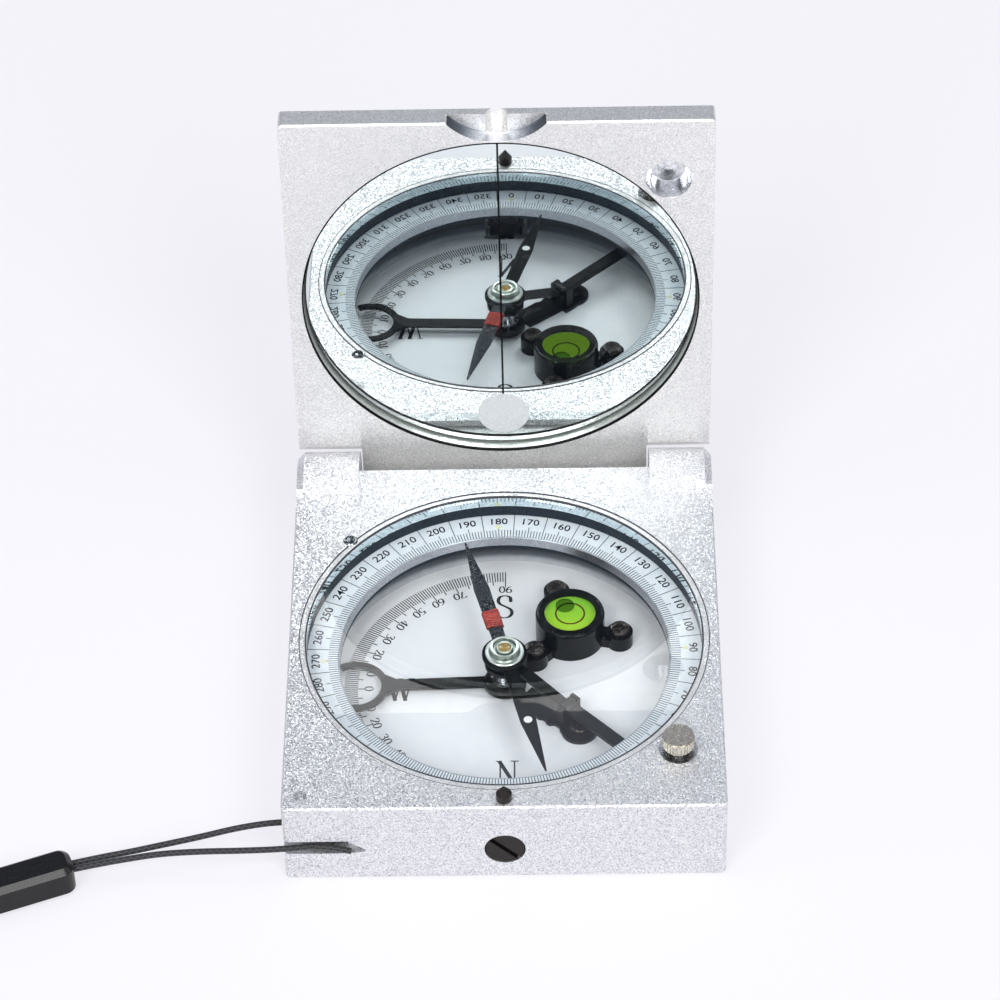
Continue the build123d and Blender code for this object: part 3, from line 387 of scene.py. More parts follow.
def braided(name, line, length, kind, body, material):
    """A tube along line with the relief of a round braid: yarns in two families cross."""
    width_mm, carriers, pitch_mm, around = kind
    radius = width_mm * MM / 2
    verts, faces, marks = [], [], []
    side = (line[1] - line[0]).normalized().orthogonal().normalized()
    for i, here in enumerate(line):
        nxt, was = line[min(i + 1, len(line) - 1)], line[max(i - 1, 0)]
        along = (nxt - was).normalized()
        side = (side - along * side.dot(along)).normalized()
        other = along.cross(side)
        run = length * i / (len(line) - 1)
        for j in range(around):
            v = 2 * math.pi * j / around
            k = 2 * math.pi * run / (pitch_mm * MM)
            one, two = math.sin(carriers * v + k), math.sin(carriers * v - k)
            r = radius * (YARN_CORE + YARN_RELIEF * max(one, two))
            verts.append(here + (side * math.cos(v) + other * math.sin(v)) * r)
            marks.append((j / around, run / MM))
    rings = len(line)
    for i in range(rings - 1):
        for j in range(around):
            k = (j + 1) % around
            faces.append((i * around + j, i * around + k, (i + 1) * around + k, (i + 1) * around + j))
    faces.append(tuple(reversed(range(around))))
    faces.append(tuple((rings - 1) * around + j for j in range(around)))
    mesh = bpy.data.meshes.new(name)
    mesh.from_pydata([tuple(v) for v in verts], [], faces)
    layer = mesh.uv_layers.new(name="yarn")
    for loop in mesh.loops:
        layer.data[loop.index].uv = marks[loop.vertex_index]
    mesh.shade_smooth()
    print(name, "length", round(length / MM, 2), "mm,", len(faces), "faces")
    return new_piece(name, mesh, body, material)


def braid_finish(name, kind):
    """Dyed nylon multifilament: each yarn's crest has a painted sheen, the gaps painted shade."""
    made, tree, shader = finish_of(name, "#141416", 0, 0.55, Sheen_Weight=0.2)
    carriers, pitch_mm = kind[1:3]
    place = add(tree, "ShaderNodeUVMap", uv_map="yarn").outputs["UV"]
    around = calc(tree, "MULTIPLY", part_of(tree, place, "X"), 2 * math.pi * carriers)
    run = calc(tree, "MULTIPLY", part_of(tree, place, "Y"), 2 * math.pi / pitch_mm)
    waves = [calc(tree, "SINE", calc(tree, way, around, run)) for way in ("ADD", "SUBTRACT")]
    height = unit(tree, calc(tree, "MAXIMUM", *waves), -0.6, 1.0)
    # painted shade in the gaps between yarns, painted sheen on their crests
    painted(tree, shader, height, [(0.0, "#050506"), (0.55, "#17171A"), (1.0, "#34353B")])
    tree.links.new(spread(tree, grain(tree, 0.15), 0.42, 0.68), shader.inputs["Roughness"])
    return made


strand_nylon = braid_finish("braided_nylon_fine", STRAND)
wrist_nylon = braid_finish("braided_nylon_wrist", WRIST)

line_b, long_b = smooth_line(STRAND_B, STRAND_STEP)
line_a, long_a = smooth_line(STRAND_A, STRAND_STEP)
line_c, long_c = smooth_line(BIGHT, STRAND_STEP)
wrist_line, long_w = smooth_line(WRIST_LEAD + coil_route(), WRIST_STEP)
strand_b = braided("lanyard_loop_rear", line_b, long_b, STRAND, "base", strand_nylon)
strand_a = braided("lanyard_loop_front", line_a, long_a, STRAND, "base", strand_nylon)
bight = braided("lanyard_loop_bight", line_c, long_c, STRAND, "base", strand_nylon)
wrist = braided("wrist_cord_coiled", wrist_line, long_w, WRIST, "base", wrist_nylon)

# %% [markdown]
# The wrist cord's free end is tied in an overhand knot, which keeps the braid from
# fraying. A trefoil curve is that knot's own shape, so the knot is swept along one.

# %% End knot
LOBE, LIFT, KNOT_STEPS = 1.05 * 0.62, 0.75 * 0.62, 120
knot_line = []
for i in range(KNOT_STEPS + 1):
    t = 2 * math.pi * i / KNOT_STEPS
    x, y = math.sin(t) + 2 * math.sin(2 * t), math.cos(t) - 2 * math.cos(2 * t)
    rise = -math.sin(3 * t) * LIFT
    knot_line.append(wrist_line[-1] + Vector((x * LOBE, y * LOBE, rise)) * MM)
knot_long = sum((b - a).length for a, b in zip(knot_line, knot_line[1:]))
knot = braided("wrist_cord_knot", knot_line, knot_long, KNOT, "base", wrist_nylon)

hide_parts("lanyard_strand_a")
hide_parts("lanyard_strand_b")
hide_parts("wrist_cord_lead", "wrist_cord_coil")
for each, line, long_m, others in (
    (strand_a, line_a, long_a, [nodes["lanyard_barrel"], bight]),
    (strand_b, line_b, long_b, [nodes["lanyard_barrel"]]),
):
    plain(line[0])
    [plain(p) for p in line[::6] + [line[-1]]]
plain(wrist_line[0])
[plain(p) for p in wrist_line[::6] + [wrist_line[-1]]]

# %% [markdown]
# ## Silver metallic paint
# The case and lid are die-cast alloy under a silver metallic paint. Aluminium flakes
# about a sixth of a millimetre apart lie at slightly different tilts in the clear binder,
# so the surface glitters and looks grainy. A cell pattern gives every flake its own
# brightness and its own lean.


# %% Silver paint
def silver_paint(name, dark, light, tilt, flake_mm=0.17):
    """Flaked paint. tilt is how far each flake leans, as a share of its normal."""
    made, tree, shader = finish_of(name, light, 0.75, 0.36)
    place = object_place(tree)
    flakes = {"Vector": place, "Scale": 1 / (flake_mm * MM)}
    cells = add(tree, "ShaderNodeTexVoronoi", flakes).outputs["Color"]
    flake = add(tree, "ShaderNodeSeparateColor", {"Color": cells}).outputs[0]
    cloud = grain(tree, 0.24, 2.0, place)
    both = calc(tree, "MULTIPLY_ADD", flake, 0.5, cloud)
    painted(tree, shader, both, [(0.4, dark), (0.75, light), (1.0, "#F8F7F6")])
    centred = vector(tree, "SUBTRACT", cells, (0.5, 0.5, 0.5))
    lean = vector(tree, "MULTIPLY", centred, (tilt, tilt, tilt))
    upright = add(tree, "ShaderNodeNewGeometry").outputs["Normal"]
    facing = vector(tree, "NORMALIZE", vector(tree, "ADD", upright, lean))
    bump = add(
        tree, "ShaderNodeBump",
        {"Height": cloud, "Distance": 0.02 * MM, "Strength": 0.5, "Normal": facing},
    )
    tree.links.new(bump.outputs["Normal"], shader.inputs["Normal"])
    return made


# one paint in two copies: the lid's is lighter and less grainy (painted light), the case's darker
# (painted shade)
case_silver = silver_paint("silver_metallic_case_paint", "#A6A9B4", "#E4E5E8", 0.6)
lid_silver = silver_paint("silver_metallic_lid_paint", "#CFCFD1", "#E6E6E5", 0.3)
bezel_silver = silver_paint("fine_silver_bezel_paint", "#CDCED2", "#E8E8E8", 0.3, 0.18)

# %% [markdown]
# ## Metals
# Turned parts carry fine rings from the lathe, plated parts are smooth but slightly
# clouded, and blackened screws keep a dull shine on their edges. Each keeps the default
# IOR, because a metal's colour does that work.


# %% Metals
WAVE_STEP = 0.314  # a wave texture of this scale repeats once per unit


def turned_metal(name, colour, roughness, ring_mm, centre_mm, shade, deep=0.004):
    """Bright metal with lathe rings around a vertical axis."""
    made, tree, shader = finish_of(name, colour, 1.0, roughness)
    place = object_place(tree, (1, 1, 0), [c * MM for c in centre_mm])
    rings = add(
        tree, "ShaderNodeTexWave",
        {"Vector": place, "Scale": WAVE_STEP / (ring_mm * MM), "Distortion": 1.0, "Detail": 1.0},
        wave_type="RINGS", rings_direction="SPHERICAL",
    ).outputs["Fac"]
    cloud = grain(tree, 0.7)
    painted(tree, shader, cloud, [(0.25, shade), (0.7, colour)])
    dulled = spread(tree, cloud, roughness * 0.8, roughness * 1.35)
    tree.links.new(dulled, shader.inputs["Roughness"])
    bumped(tree, shader, rings, deep, 0.5)
    return made


def grained_metal(name, colour, shade, roughness, size_mm=0.3, metallic=1.0, deep=0.01):
    """Plated, blackened or plain metal with a slightly clouded surface."""
    made, tree, shader = finish_of(name, colour, metallic, roughness)
    cloud = grain(tree, size_mm, 4.0)
    painted(tree, shader, cloud, [(0.3, shade), (0.7, colour)])
    dulled = spread(tree, cloud, roughness * 0.75, roughness * 1.4)
    tree.links.new(dulled, shader.inputs["Roughness"])
    bumped(tree, shader, cloud, deep, 0.6)
    return made


KNOB_CENTRE = (28.35, -25.9, 0)
nickel = turned_metal("nickel_plated_brass_knob", "#D2CCC0", 0.24, 0.16, KNOB_CENTRE, "#B0AA9E")
steel = grained_metal("bright_steel_pin", "#C9CACD", "#9DA0A4", 0.25, 0.5)
gear_brass = grained_metal("machined_brass_gear", "#CFAF6B", "#A98A4A", 0.32, 0.4)
spring_steel = grained_metal("drawn_spring_wire", "#B8BABF", "#8A8D92", 0.3, 0.2)
cup_metal = turned_metal("spun_bright_cup", "#F0F1F3", 0.12, 0.2, (0, 0, 0), "#C4C7CC", 0.01)
black_screw = grained_metal("black_phosphate_screw", "#6A625F", "#2A2726", 0.24, 0.2, 0.9, 0.012)
black_enamel = grained_metal("black_stoving_enamel", "#17181B", "#08090A", 0.3, 0.35, 0.0, 0.006)
liner_black = grained_metal("matt_black_liner", "#2B3642", "#1C242D", 0.42, 0.6, 0.0, 0.01)
black_steel = grained_metal("blackened_steel", "#2B2B2E", "#161618", 0.34, 0.2, 0.7, 0.008)
lip_metal = grained_metal("machined_aluminium_lip", "#D5D7DC", "#A9ADB6", 0.3, 0.35)
plug_metal = grained_metal("dull_lock_plug", "#A6ABB0", "#3E4447", 0.18, 0.8, 1.0, 0.03)
edge_metal = grained_metal("polished_glass_edge", "#E8F1F3", "#C2D2D8", 0.07, 0.5)
stud_black = grained_metal("blackened_turned_stud", "#2C2725", "#151211", 0.33, 0.2, 0.5, 0.01)

# %% [markdown]
# The cap over the needle's bearing is turned aluminium. Its colour follows the radius:
# painted highlights on the ridges and painted shade in the grooves between them.

# %% Cap metal
CAP_IN_R, CAP_OUT_R = 1.0, 3.4
cap_metal, tree, shader = finish_of("bright_turned_aluminium_cap", "#EDF1EA", 1.0, 0.3)
radius = vector(tree, "LENGTH", object_place(tree, (1, 1, 0)), out="Value")
share = unit(tree, radius, CAP_IN_R * MM, CAP_OUT_R * MM)
# white bands are painted highlights on the ridges, dark bands painted shade in the grooves
painted(tree, shader, calc(tree, "MULTIPLY_ADD", grain(tree, 0.4), 0.04, share), [
    (0.0, "#F0F4EC"), (0.19, "#DCE4DA"), (0.24, "#76827A"), (0.4, "#8B968E"), (0.46, "#FFFFFF"),
    (0.58, "#EAF0E8"), (0.63, "#87928A"), (0.7, "#B8C2B8"), (0.78, "#FFFFFF"), (1.0, "#E2E8E0"),
])

# %% [markdown]
# ## The needle's two finishes
# Both arms are the same steel strip. The south arm was blasted before it was blackened,
# so it is grey and grainy; the north arm is darker and smoother, with a white dot near
# its tip. A line across the hub parts the two finishes.

# %% Needle finish
NEEDLE_TURN, NEEDLE_DIP = math.radians(14.7), math.radians(1.3)
NEEDLE_MID, PARTING_LINE = 12.7, 3.0
north = (math.sin(NEEDLE_TURN), -math.cos(NEEDLE_TURN), 0.0)
needle_black, tree, shader = finish_of("blackened_needle_steel", "#1B1C1F", 0.25, 0.45)
place = object_place(tree)
is_south = calc(
    tree, "LESS_THAN", vector(tree, "DOT_PRODUCT", place, north, out="Value"), -PARTING_LINE * MM
)
speckle = grain(tree, 0.2, 3.0, place)
smooth_side = ramp(tree, speckle, [(0.3, "#08090A"), (0.7, "#18191C")])
blasted_side = ramp(tree, speckle, [(0.35, "#0F1114"), (0.52, "#25282C"), (0.7, "#8A9098")])
mixed = add(
    tree, "ShaderNodeMix", {0: is_south, 6: smooth_side, 7: blasted_side}, data_type="RGBA"
).outputs[2]
tree.links.new(mixed, shader.inputs["Base Color"])
bumped(tree, shader, speckle, 0.02, 0.5)

# %% [markdown]
# ## Plastics, paint and print
# The level and the barrel are glossy black mouldings with a faint orange-peel. The dial
# is a white lacquered plate, the ring a pale blue-white one. Ink is black and barely
# raised, so numbers and strokes are thin solid shapes laid on the plates.


# %% Plastics, paint and ink
def moulded(name, colour, shade, roughness, size_mm, deep, **more):
    """Plastic, lacquer or rubber with a faint uneven skin."""
    made, tree, shader = finish_of(name, colour, 0, roughness, **more)
    skin = grain(tree, size_mm, 3.0)
    painted(tree, shader, skin, [(0.3, shade), (0.7, colour)])
    dulled = spread(tree, skin, roughness * 0.8, roughness * 1.3)
    tree.links.new(dulled, shader.inputs["Roughness"])
    bumped(tree, shader, skin, deep, 0.5)
    return made


black_gloss = moulded("gloss_black_abs", "#17181A", "#0A0B0C", 0.2, 0.9, 0.012)
barrel_black = moulded("gloss_black_acetal", "#1A1A1D", "#0C0C0E", 0.24, 0.35, 0.02)
rubber = moulded("black_nitrile_rubber", "#1A1A1A", "#0E0E0E", 0.7, 0.4, 0.02)
dial_white = moulded("white_lacquered_dial", "#FBFCFF", "#F6F8FD", 0.35, 2.5, 0.002)
ring_white = moulded("blue_white_printed_ring", "#F3F8FD", "#EAF2FA", 0.38, 2.0, 0.002)
ink = moulded("black_screen_ink", "#23252A", "#15161A", 0.6, 0.3, 0.001)
soft_ink = moulded("grey_black_ring_ink", "#3C454E", "#2B333B", 0.6, 0.3, 0.001)
number_ink = moulded("black_ring_number_ink", "#1A1F25", "#101418", 0.6, 0.3, 0.001)
dot_paint = moulded("pale_luminous_paint", "#F2F3C4", "#E6E8AE", 0.6, 0.3, 0.004)
white_dot = moulded("white_enamel_dot", "#FFFFFF", "#F2F3F6", 0.35, 0.5, 0.002)
frosted = moulded("frosted_sighting_spot", "#E6E5EA", "#D0CFD6", 0.6, 0.25, 0.02)
backing_grey = moulded("grey_mirror_backing_paint", "#5A5D62", "#46494D", 0.6, 0.8, 0.01)
seam_grey = moulded("dark_seam_line", "#45444C", "#2E2C33", 0.6, 0.4, 0.002)
line_ink = moulded("black_sight_line", "#0B0B0C", "#050506", 0.45, 0.4, 0.001)
jewel = moulded("amber_jewel_bearing", "#B79A55", "#8F7336", 0.15, 0.6, 0.002, Coat_Weight=0.6)

for finish, sheen in (
    (black_gloss, 0.22), (barrel_black, 0.3), (black_enamel, 0.2), (needle_black, 0.15),
    (liner_black, 0.2), (rubber, 0.2), (line_ink, 0.1), (number_ink, 0.1),
):
    finish.node_tree.nodes["Principled BSDF"].inputs["Specular IOR Level"].default_value = sheen

# %% [markdown]
# ## Glass and mirror
# The window is thin clear glass: nearly all light goes straight through and a little is
# mirrored, more at a flat angle. A clear shader mixed with a glossy one by Fresnel gives
# that without bending what lies below. The lid's mirror is silvered on its back, so its
# reflection seems to lie a little inside the glass, whose edge is green.


# %% Glass and silvering
def thin_glass(name, tint, ior):
    """Glass that lets light straight through and mirrors a little of it by Fresnel."""
    made, tree = bare_material(name)
    clear = add(tree, "ShaderNodeBsdfTransparent", {"Color": linear(tint)})
    shine = add(tree, "ShaderNodeBsdfGlossy", {"Color": linear("#FFFFFF"), "Roughness": 0.0})
    edge = add(tree, "ShaderNodeFresnel", {"IOR": ior}).outputs[0]
    inner = add(tree, "ShaderNodeNewGeometry").outputs["Backfacing"]
    # only the outer face mirrors, or the inner face would mirror nearly everything
    share = calc(tree, "MULTIPLY", edge, calc(tree, "SUBTRACT", 1.0, inner))
    mixed = {0: share, 1: clear.outputs[0], 2: shine.outputs[0]}
    mix = add(tree, "ShaderNodeMixShader", mixed)
    add(tree, "ShaderNodeOutputMaterial", {"Surface": mix.outputs[0]})
    return made


window_glass = thin_glass("clear_window_glass", "#FCFDFD", 1.85)
vial_glass = thin_glass("clear_vial_window", "#F6FAF2", 1.45)
mirror_edge = thin_glass("green_edged_float_glass", "#F9FCFA", 1.3)
silvering, tree, shader = finish_of("mirror_silvering", "#EEF1F4", 1.0, 0.012)
painted(tree, shader, grain(tree, 9.0, 1.0), [(0.3, "#ECEFF3"), (0.7, "#F1F3F6")])

# %% [markdown]
# The level's fluid has a painted glow and painted light, yellow at its front and greener behind. The
# winding's wire is red enamelled copper, and the grooves between its turns get painted shade.

# %% Level fluid and winding wire
LEVEL_AT, LEVEL_R = (11.1, 11.8), 4.5
WIRE_TURN = 0.4  # from one groove of the winding to the next
fluid, tree, shader = finish_of("yellow_green_level_fluid", "#A6DC3C", 0, 0.25)
place = object_place(tree, (1, 1, 0), (LEVEL_AT[0] * MM, LEVEL_AT[1] * MM, 0))
# front to back gradient: painted light, yellow at the front and greener behind
painted_light_fall = unit(tree, part_of(tree, place, "Y"), -LEVEL_R * MM, LEVEL_R * MM)
mottle_and_painted_light = calc(tree, "MULTIPLY_ADD", grain(tree, 2.5, 1.0), 0.25, painted_light_fall)
painted(tree, shader, mottle_and_painted_light, [(0.0, "#D9F050"), (0.5, "#B2E048"), (1.0, "#84CC50")])
# a painted glow: the fluid is no lamp
shader.inputs["Emission Color"].default_value = linear("#B6E83E")
shader.inputs["Emission Strength"].default_value = 0.3

wire_red, tree, shader = finish_of("red_enamelled_copper_wire", "#B8362A", 0.35, 0.3, Coat_Weight=0.5)
enamel = ramp(tree, grain(tree, 0.35), [(0.3, "#8E1F18"), (0.55, "#C23B2C"), (0.75, "#E0705A")])
along = vector(tree, "DOT_PRODUCT", object_place(tree), north, out="Value")
wobble = calc(tree, "MULTIPLY_ADD", grain(tree, 1.2), 0.3 * MM, along)
groove = calc(tree, "PINGPONG", wobble, WIRE_TURN / 2 * MM)
# dark stripes between the turns: painted shade in the grooves
groove_painted_shade = add(
    tree, "ShaderNodeMix",
    {0: unit(tree, groove, 0.0, 0.09 * MM), 6: linear("#4A100C"), 7: enamel}, data_type="RGBA",
).outputs[2]
tree.links.new(groove_painted_shade, shader.inputs["Base Color"])
level_line = moulded("red_brown_level_circle", "#7E2808", "#5E1C06", 0.5, 0.3, 0.001)

# %% [markdown]
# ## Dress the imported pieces
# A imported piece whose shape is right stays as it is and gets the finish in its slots.

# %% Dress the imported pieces
DRESS = (
    (case_silver, "base_case"), (lid_silver, "lid_frame"), (bezel_silver, "window_retaining_ring"),
    (dial_white, "dial_plate"), (ring_white, "azimuth_ring"), (window_glass, "window_glass"),
    (vial_glass, "level_glass"), (mirror_edge, "mirror_glass"), (fluid, "level_liquid"),
    (backing_grey, "mirror_backing"), (rubber, "window_gasket"), (liner_black, "chamber_liner"),
    (stud_black, "index_stud adjuster_screw"), (black_gloss, "level_housing"),
    (barrel_black, "lanyard_barrel"), (nickel, "button_knob"), (jewel, "needle_jewel"),
    (black_screw, "level_screw_1 level_screw_2 level_screw_3 bracket_screw"),
    (black_enamel, "lift_bracket lift_lever clinometer_pointer"),
    (black_steel, "fulcrum_pin adjuster_pinion"), (spring_steel, "button_spring adjuster_clip"),
    (gear_brass, "adjuster_bush ring_gear"), (needle_black, "needle_blade"),
    (cap_metal, "needle_hub needle_cap_ring"),
    (steel, "pivot_post pointer_retainer hinge_pin_left hinge_pin_right lanyard_pin button_bush"),
    (steel, "button_rod lift_collar"),
)
dressed = 0
for material, names in DRESS:
    for name in names.split():
        data = nodes[name].data
        if not data.materials:
            data.materials.append(material)
        for each in nodes[name].material_slots:
            each.material = material
        dressed += 1
print(dressed, "packed pieces dressed")

# %% [markdown]
# ## Scales made with Geometry Nodes
# A scale is one short stroke repeated at even angles, longer at every fifth or tenth.
# The tree places a point for each degree, picks the stroke's length from the point's
# number, and puts a thin block there. The same tree makes both scales.

# %% Tree of scale strokes
INPUTS = {
    "Int": ("Count", "Middle each", "Long each", "Long phase"),
    "Float": ("Start", "Step", "Base", "Short", "Middle", "Long", "Wide", "Thick", "Level"),
    "Material": ("Ink",),
}


def new_tree(name, inputs):
    """A Geometry Nodes tree with named inputs, its input node and its output node."""
    tree = bpy.data.node_groups.new(name, "GeometryNodeTree")
    for kind, labels in inputs.items():
        for label in labels:
            tree.interface.new_socket(
                name=label, in_out="INPUT", socket_type="NodeSocket" + kind
            )
    tree.interface.new_socket(name="Geometry", in_out="OUTPUT", socket_type="NodeSocketGeometry")
    return tree, add(tree, "NodeGroupInput").outputs, add(tree, "NodeGroupOutput")


def grow(name, tree, body, values):
    """Runs a tree with these values and keeps its result as a plain mesh on a body."""
    holder = bpy.data.objects.new(name + "_maker", bpy.data.meshes.new(name))
    scene.collection.objects.link(holder)
    maker = holder.modifiers.new("make", "NODES")
    maker.node_group = tree
    for item in tree.interface.items_tree:
        if item.in_out == "INPUT" and item.name in values:
            maker[item.identifier] = values[item.name]
    graph = bpy.context.evaluated_depsgraph_get()
    mesh = bpy.data.meshes.new_from_object(holder.evaluated_get(graph))
    mesh.name = name
    bpy.data.objects.remove(holder)
    print(name, len(mesh.polygons), "faces")
    return new_piece(name, mesh, body)


strokes, given, done = new_tree("scale_strokes", INPUTS)
number = add(strokes, "GeometryNodeInputIndex").outputs[0]
angle = calc(strokes, "MULTIPLY_ADD", number, given["Step"], given["Start"])


def each_one(every, phase):
    """1 where the stroke's number less phase divides by every, else 0."""
    rest = calc(strokes, "FLOORED_MODULO", calc(strokes, "SUBTRACT", number, phase), every)
    return calc(strokes, "LESS_THAN", rest, 0.5)


is_middle = each_one(given["Middle each"], 0)
is_long = each_one(given["Long each"], given["Long phase"])
reach = given["Short"]
for chosen, wanted in ((is_middle, given["Middle"]), (is_long, given["Long"])):
    more = calc(strokes, "SUBTRACT", wanted, reach)
    reach = calc(strokes, "MULTIPLY_ADD", more, chosen, reach)
middle_r = calc(strokes, "MULTIPLY_ADD", reach, 0.5, given["Base"])
spot = triple(
    strokes,
    calc(strokes, "MULTIPLY", middle_r, calc(strokes, "COSINE", angle)),
    calc(strokes, "MULTIPLY", middle_r, calc(strokes, "SINE", angle)),
    given["Level"],
)
held = geometry(strokes, "Points", Count=given["Count"], Position=spot)
# the stroke's turn and size are read again at each point, so they are stored first
kept = {
    "turn": triple(strokes, None, None, angle),
    "size": triple(strokes, calc(strokes, "ABSOLUTE", reach), given["Wide"], given["Thick"]),
}
read = {}
for label, value in kept.items():
    held = add(
        strokes, "GeometryNodeStoreNamedAttribute", {"Geometry": held, "Name": label, 3: value},
        data_type="FLOAT_VECTOR", domain="POINT",
    ).outputs[0]
    read[label] = add(
        strokes, "GeometryNodeInputNamedAttribute", {"Name": label}, data_type="FLOAT_VECTOR"
    ).outputs[0]
placed = geometry(
    strokes, "InstanceOnPoints", Points=held, Instance=geometry(strokes, "MeshCube", Size=(1, 1, 1)),
    Rotation=read["turn"], Scale=read["size"],
)
solid = add(strokes, "GeometryNodeRealizeInstances", {0: placed}).outputs[0]
inked = geometry(strokes, "SetMaterial", Geometry=solid, Material=given["Ink"])
strokes.links.new(inked, done.inputs[0])

# %% [markdown]
# The ring's scale runs right round, a stroke for each degree. The dial's runs around the
# half that the plumb pointer sweeps, and its strokes hang inward from their circle.

# %% The two scales
RING_TOP, DIAL_TOP = 12.6, 4.5
INK_T = 0.03
RING_TURN = math.radians(2.0)
ring_scale = grow("ring_degree_strokes", strokes, "ring", {
    "Count": 360, "Start": RING_TURN - math.pi / 2, "Step": math.radians(1),
    "Base": 28.0 * MM, "Short": 1.6 * MM, "Middle": 2.45 * MM, "Long": 5.45 * MM,
    "Middle each": 10, "Long each": 10, "Long phase": 5, "Wide": 0.13 * MM,
    "Thick": INK_T * MM, "Level": (RING_TOP + INK_T / 2) * MM, "Ink": soft_ink,
})
dial_scale = grow("clinometer_strokes", strokes, "base", {
    "Count": 181, "Start": math.pi / 2, "Step": math.radians(1),
    "Base": 27.3 * MM, "Short": -2.3 * MM, "Middle": -3.1 * MM, "Long": -3.6 * MM,
    "Middle each": 5, "Long each": 10, "Long phase": 0, "Wide": 0.17 * MM,
    "Thick": INK_T * MM, "Level": (DIAL_TOP + INK_T / 2) * MM, "Ink": ink,
})

# %% [markdown]
# ## Numbers on the ring
# The ring's numbers are plain upright sans-serif figures, a little wide, with their
# tops outward. Text objects give good outlines, but each has to become a mesh before
# it is turned to its place on the ring.


# %% Numbers on the ring
def flat_text(body, height_mm, widen, thick_mm):
    """The mesh of a line of text, centred on the origin, with this height of figure."""
    text = bpy.data.curves.new("text", "FONT")
    text.body = body
    text.align_x = "CENTER"
    text.resolution_u = 4
    text.offset = 0.008
    holder = bpy.data.objects.new("text", text)
    scene.collection.objects.link(holder)
    bpy.context.view_layer.update()
    mesh = bpy.data.meshes.new_from_object(holder)
    bpy.data.objects.remove(holder)
    low = min(v.co.y for v in mesh.vertices)
    high = max(v.co.y for v in mesh.vertices)
    s = height_mm / (high - low)
    for v in mesh.vertices:
        v.co = Vector((v.co.x * s * widen, (v.co.y - (low + high) / 2) * s, 0)) * MM
    return thickened(mesh, thick_mm)


def thickened(mesh, thick_mm):
    """Turns a flat shape into a closed slab that stands up from its own plane."""
    shape = bmesh.new()
    shape.from_mesh(mesh)
    bmesh.ops.remove_doubles(shape, verts=shape.verts, dist=1e-7)
    grown = bmesh.ops.extrude_face_region(shape, geom=list(shape.faces))
    tops = [g for g in grown["geom"] if isinstance(g, bmesh.types.BMVert)]
    bmesh.ops.translate(shape, verts=tops, vec=(0, 0, thick_mm * MM))
    bmesh.ops.recalc_face_normals(shape, faces=shape.faces)
    shape.to_mesh(mesh)
    shape.free()
    return mesh


def gathered(name, parts, body, material):
    """Joins meshes, each moved by its own matrix, into one piece on a body."""
    shape = bmesh.new()
    for mesh, matrix in parts:
        copy = mesh.copy()
        copy.transform(matrix)
        shape.from_mesh(copy)
        bpy.data.meshes.remove(copy)
    mesh = bpy.data.meshes.new(name)
    shape.to_mesh(mesh)
    shape.free()
    print(name, len(mesh.polygons), "faces")
    return new_piece(name, mesh, body, material)


def moved(x, y, z=0.0):
    """A shift by these distances in mm."""
    return Matrix.Translation(Vector((x, y, z)) * MM)


def turned_by(angle, axis="Z"):
    """A turn about an axis through the origin."""
    return Matrix.Rotation(angle, 4, axis)


def on_circle(radius_mm, angle, level_mm, spin=0.0):
    """Where a figure sits on a circle around the needle axis."""
    return turned_by(angle) @ moved(radius_mm, 0, level_mm) @ turned_by(spin)


def disc(name, radius_mm, segments, thick_mm):
    """The mesh of a thin round plate."""
    shape = bmesh.new()
    bmesh.ops.create_circle(shape, cap_ends=True, segments=segments, radius=radius_mm * MM)
    mesh = bpy.data.meshes.new(name)
    shape.to_mesh(mesh)
    shape.free()
    return thickened(mesh, thick_mm)


NUMBER_R, NUMBER_H, NUMBER_WIDEN = 31.75, 1.45, 1.10
parts = []
for i in range(36):
    figure = flat_text(str(10 * i), NUMBER_H, NUMBER_WIDEN, INK_T)
    bearing = RING_TURN - math.pi / 2 + math.radians(10 * i)
    parts.append((figure, on_circle(NUMBER_R, bearing, RING_TOP, -math.pi / 2)))
ring_numbers = gathered("ring_degree_numbers", parts, "ring", number_ink)

# %% [markdown]
# A dot of pale luminous paint marks each quarter of the ring, so that it can be read
# in the dark.

# %% Luminous dots on the ring
DOT_AT_R, DOT_R, DOT_T = 30.35, 0.42, 0.06
dot_mesh = disc("dot", DOT_R, 20, DOT_T)
quarters = [RING_TURN + math.radians(90 * i) for i in range(4)]
dots = gathered(
    "ring_luminous_dots", [(dot_mesh, on_circle(DOT_AT_R, q, RING_TOP)) for q in quarters],
    "ring", dot_paint,
)

# %% [markdown]
# ## Serif letters and figures on the dial
# The dial is printed in a book face: upright strokes are thick, level ones thin. A broad
# pen held level does the same, so every letter here is a few pen paths. The pen's width
# along a path follows the path's direction.

# %% Pen paths
def oval(x, y, half_wide, half_high, steps):
    """A closed ring of points."""
    turns = [2 * math.pi * t / steps for t in range(steps + 1)]
    return [(x + half_wide * math.cos(t), y + half_high * math.sin(t)) for t in turns]


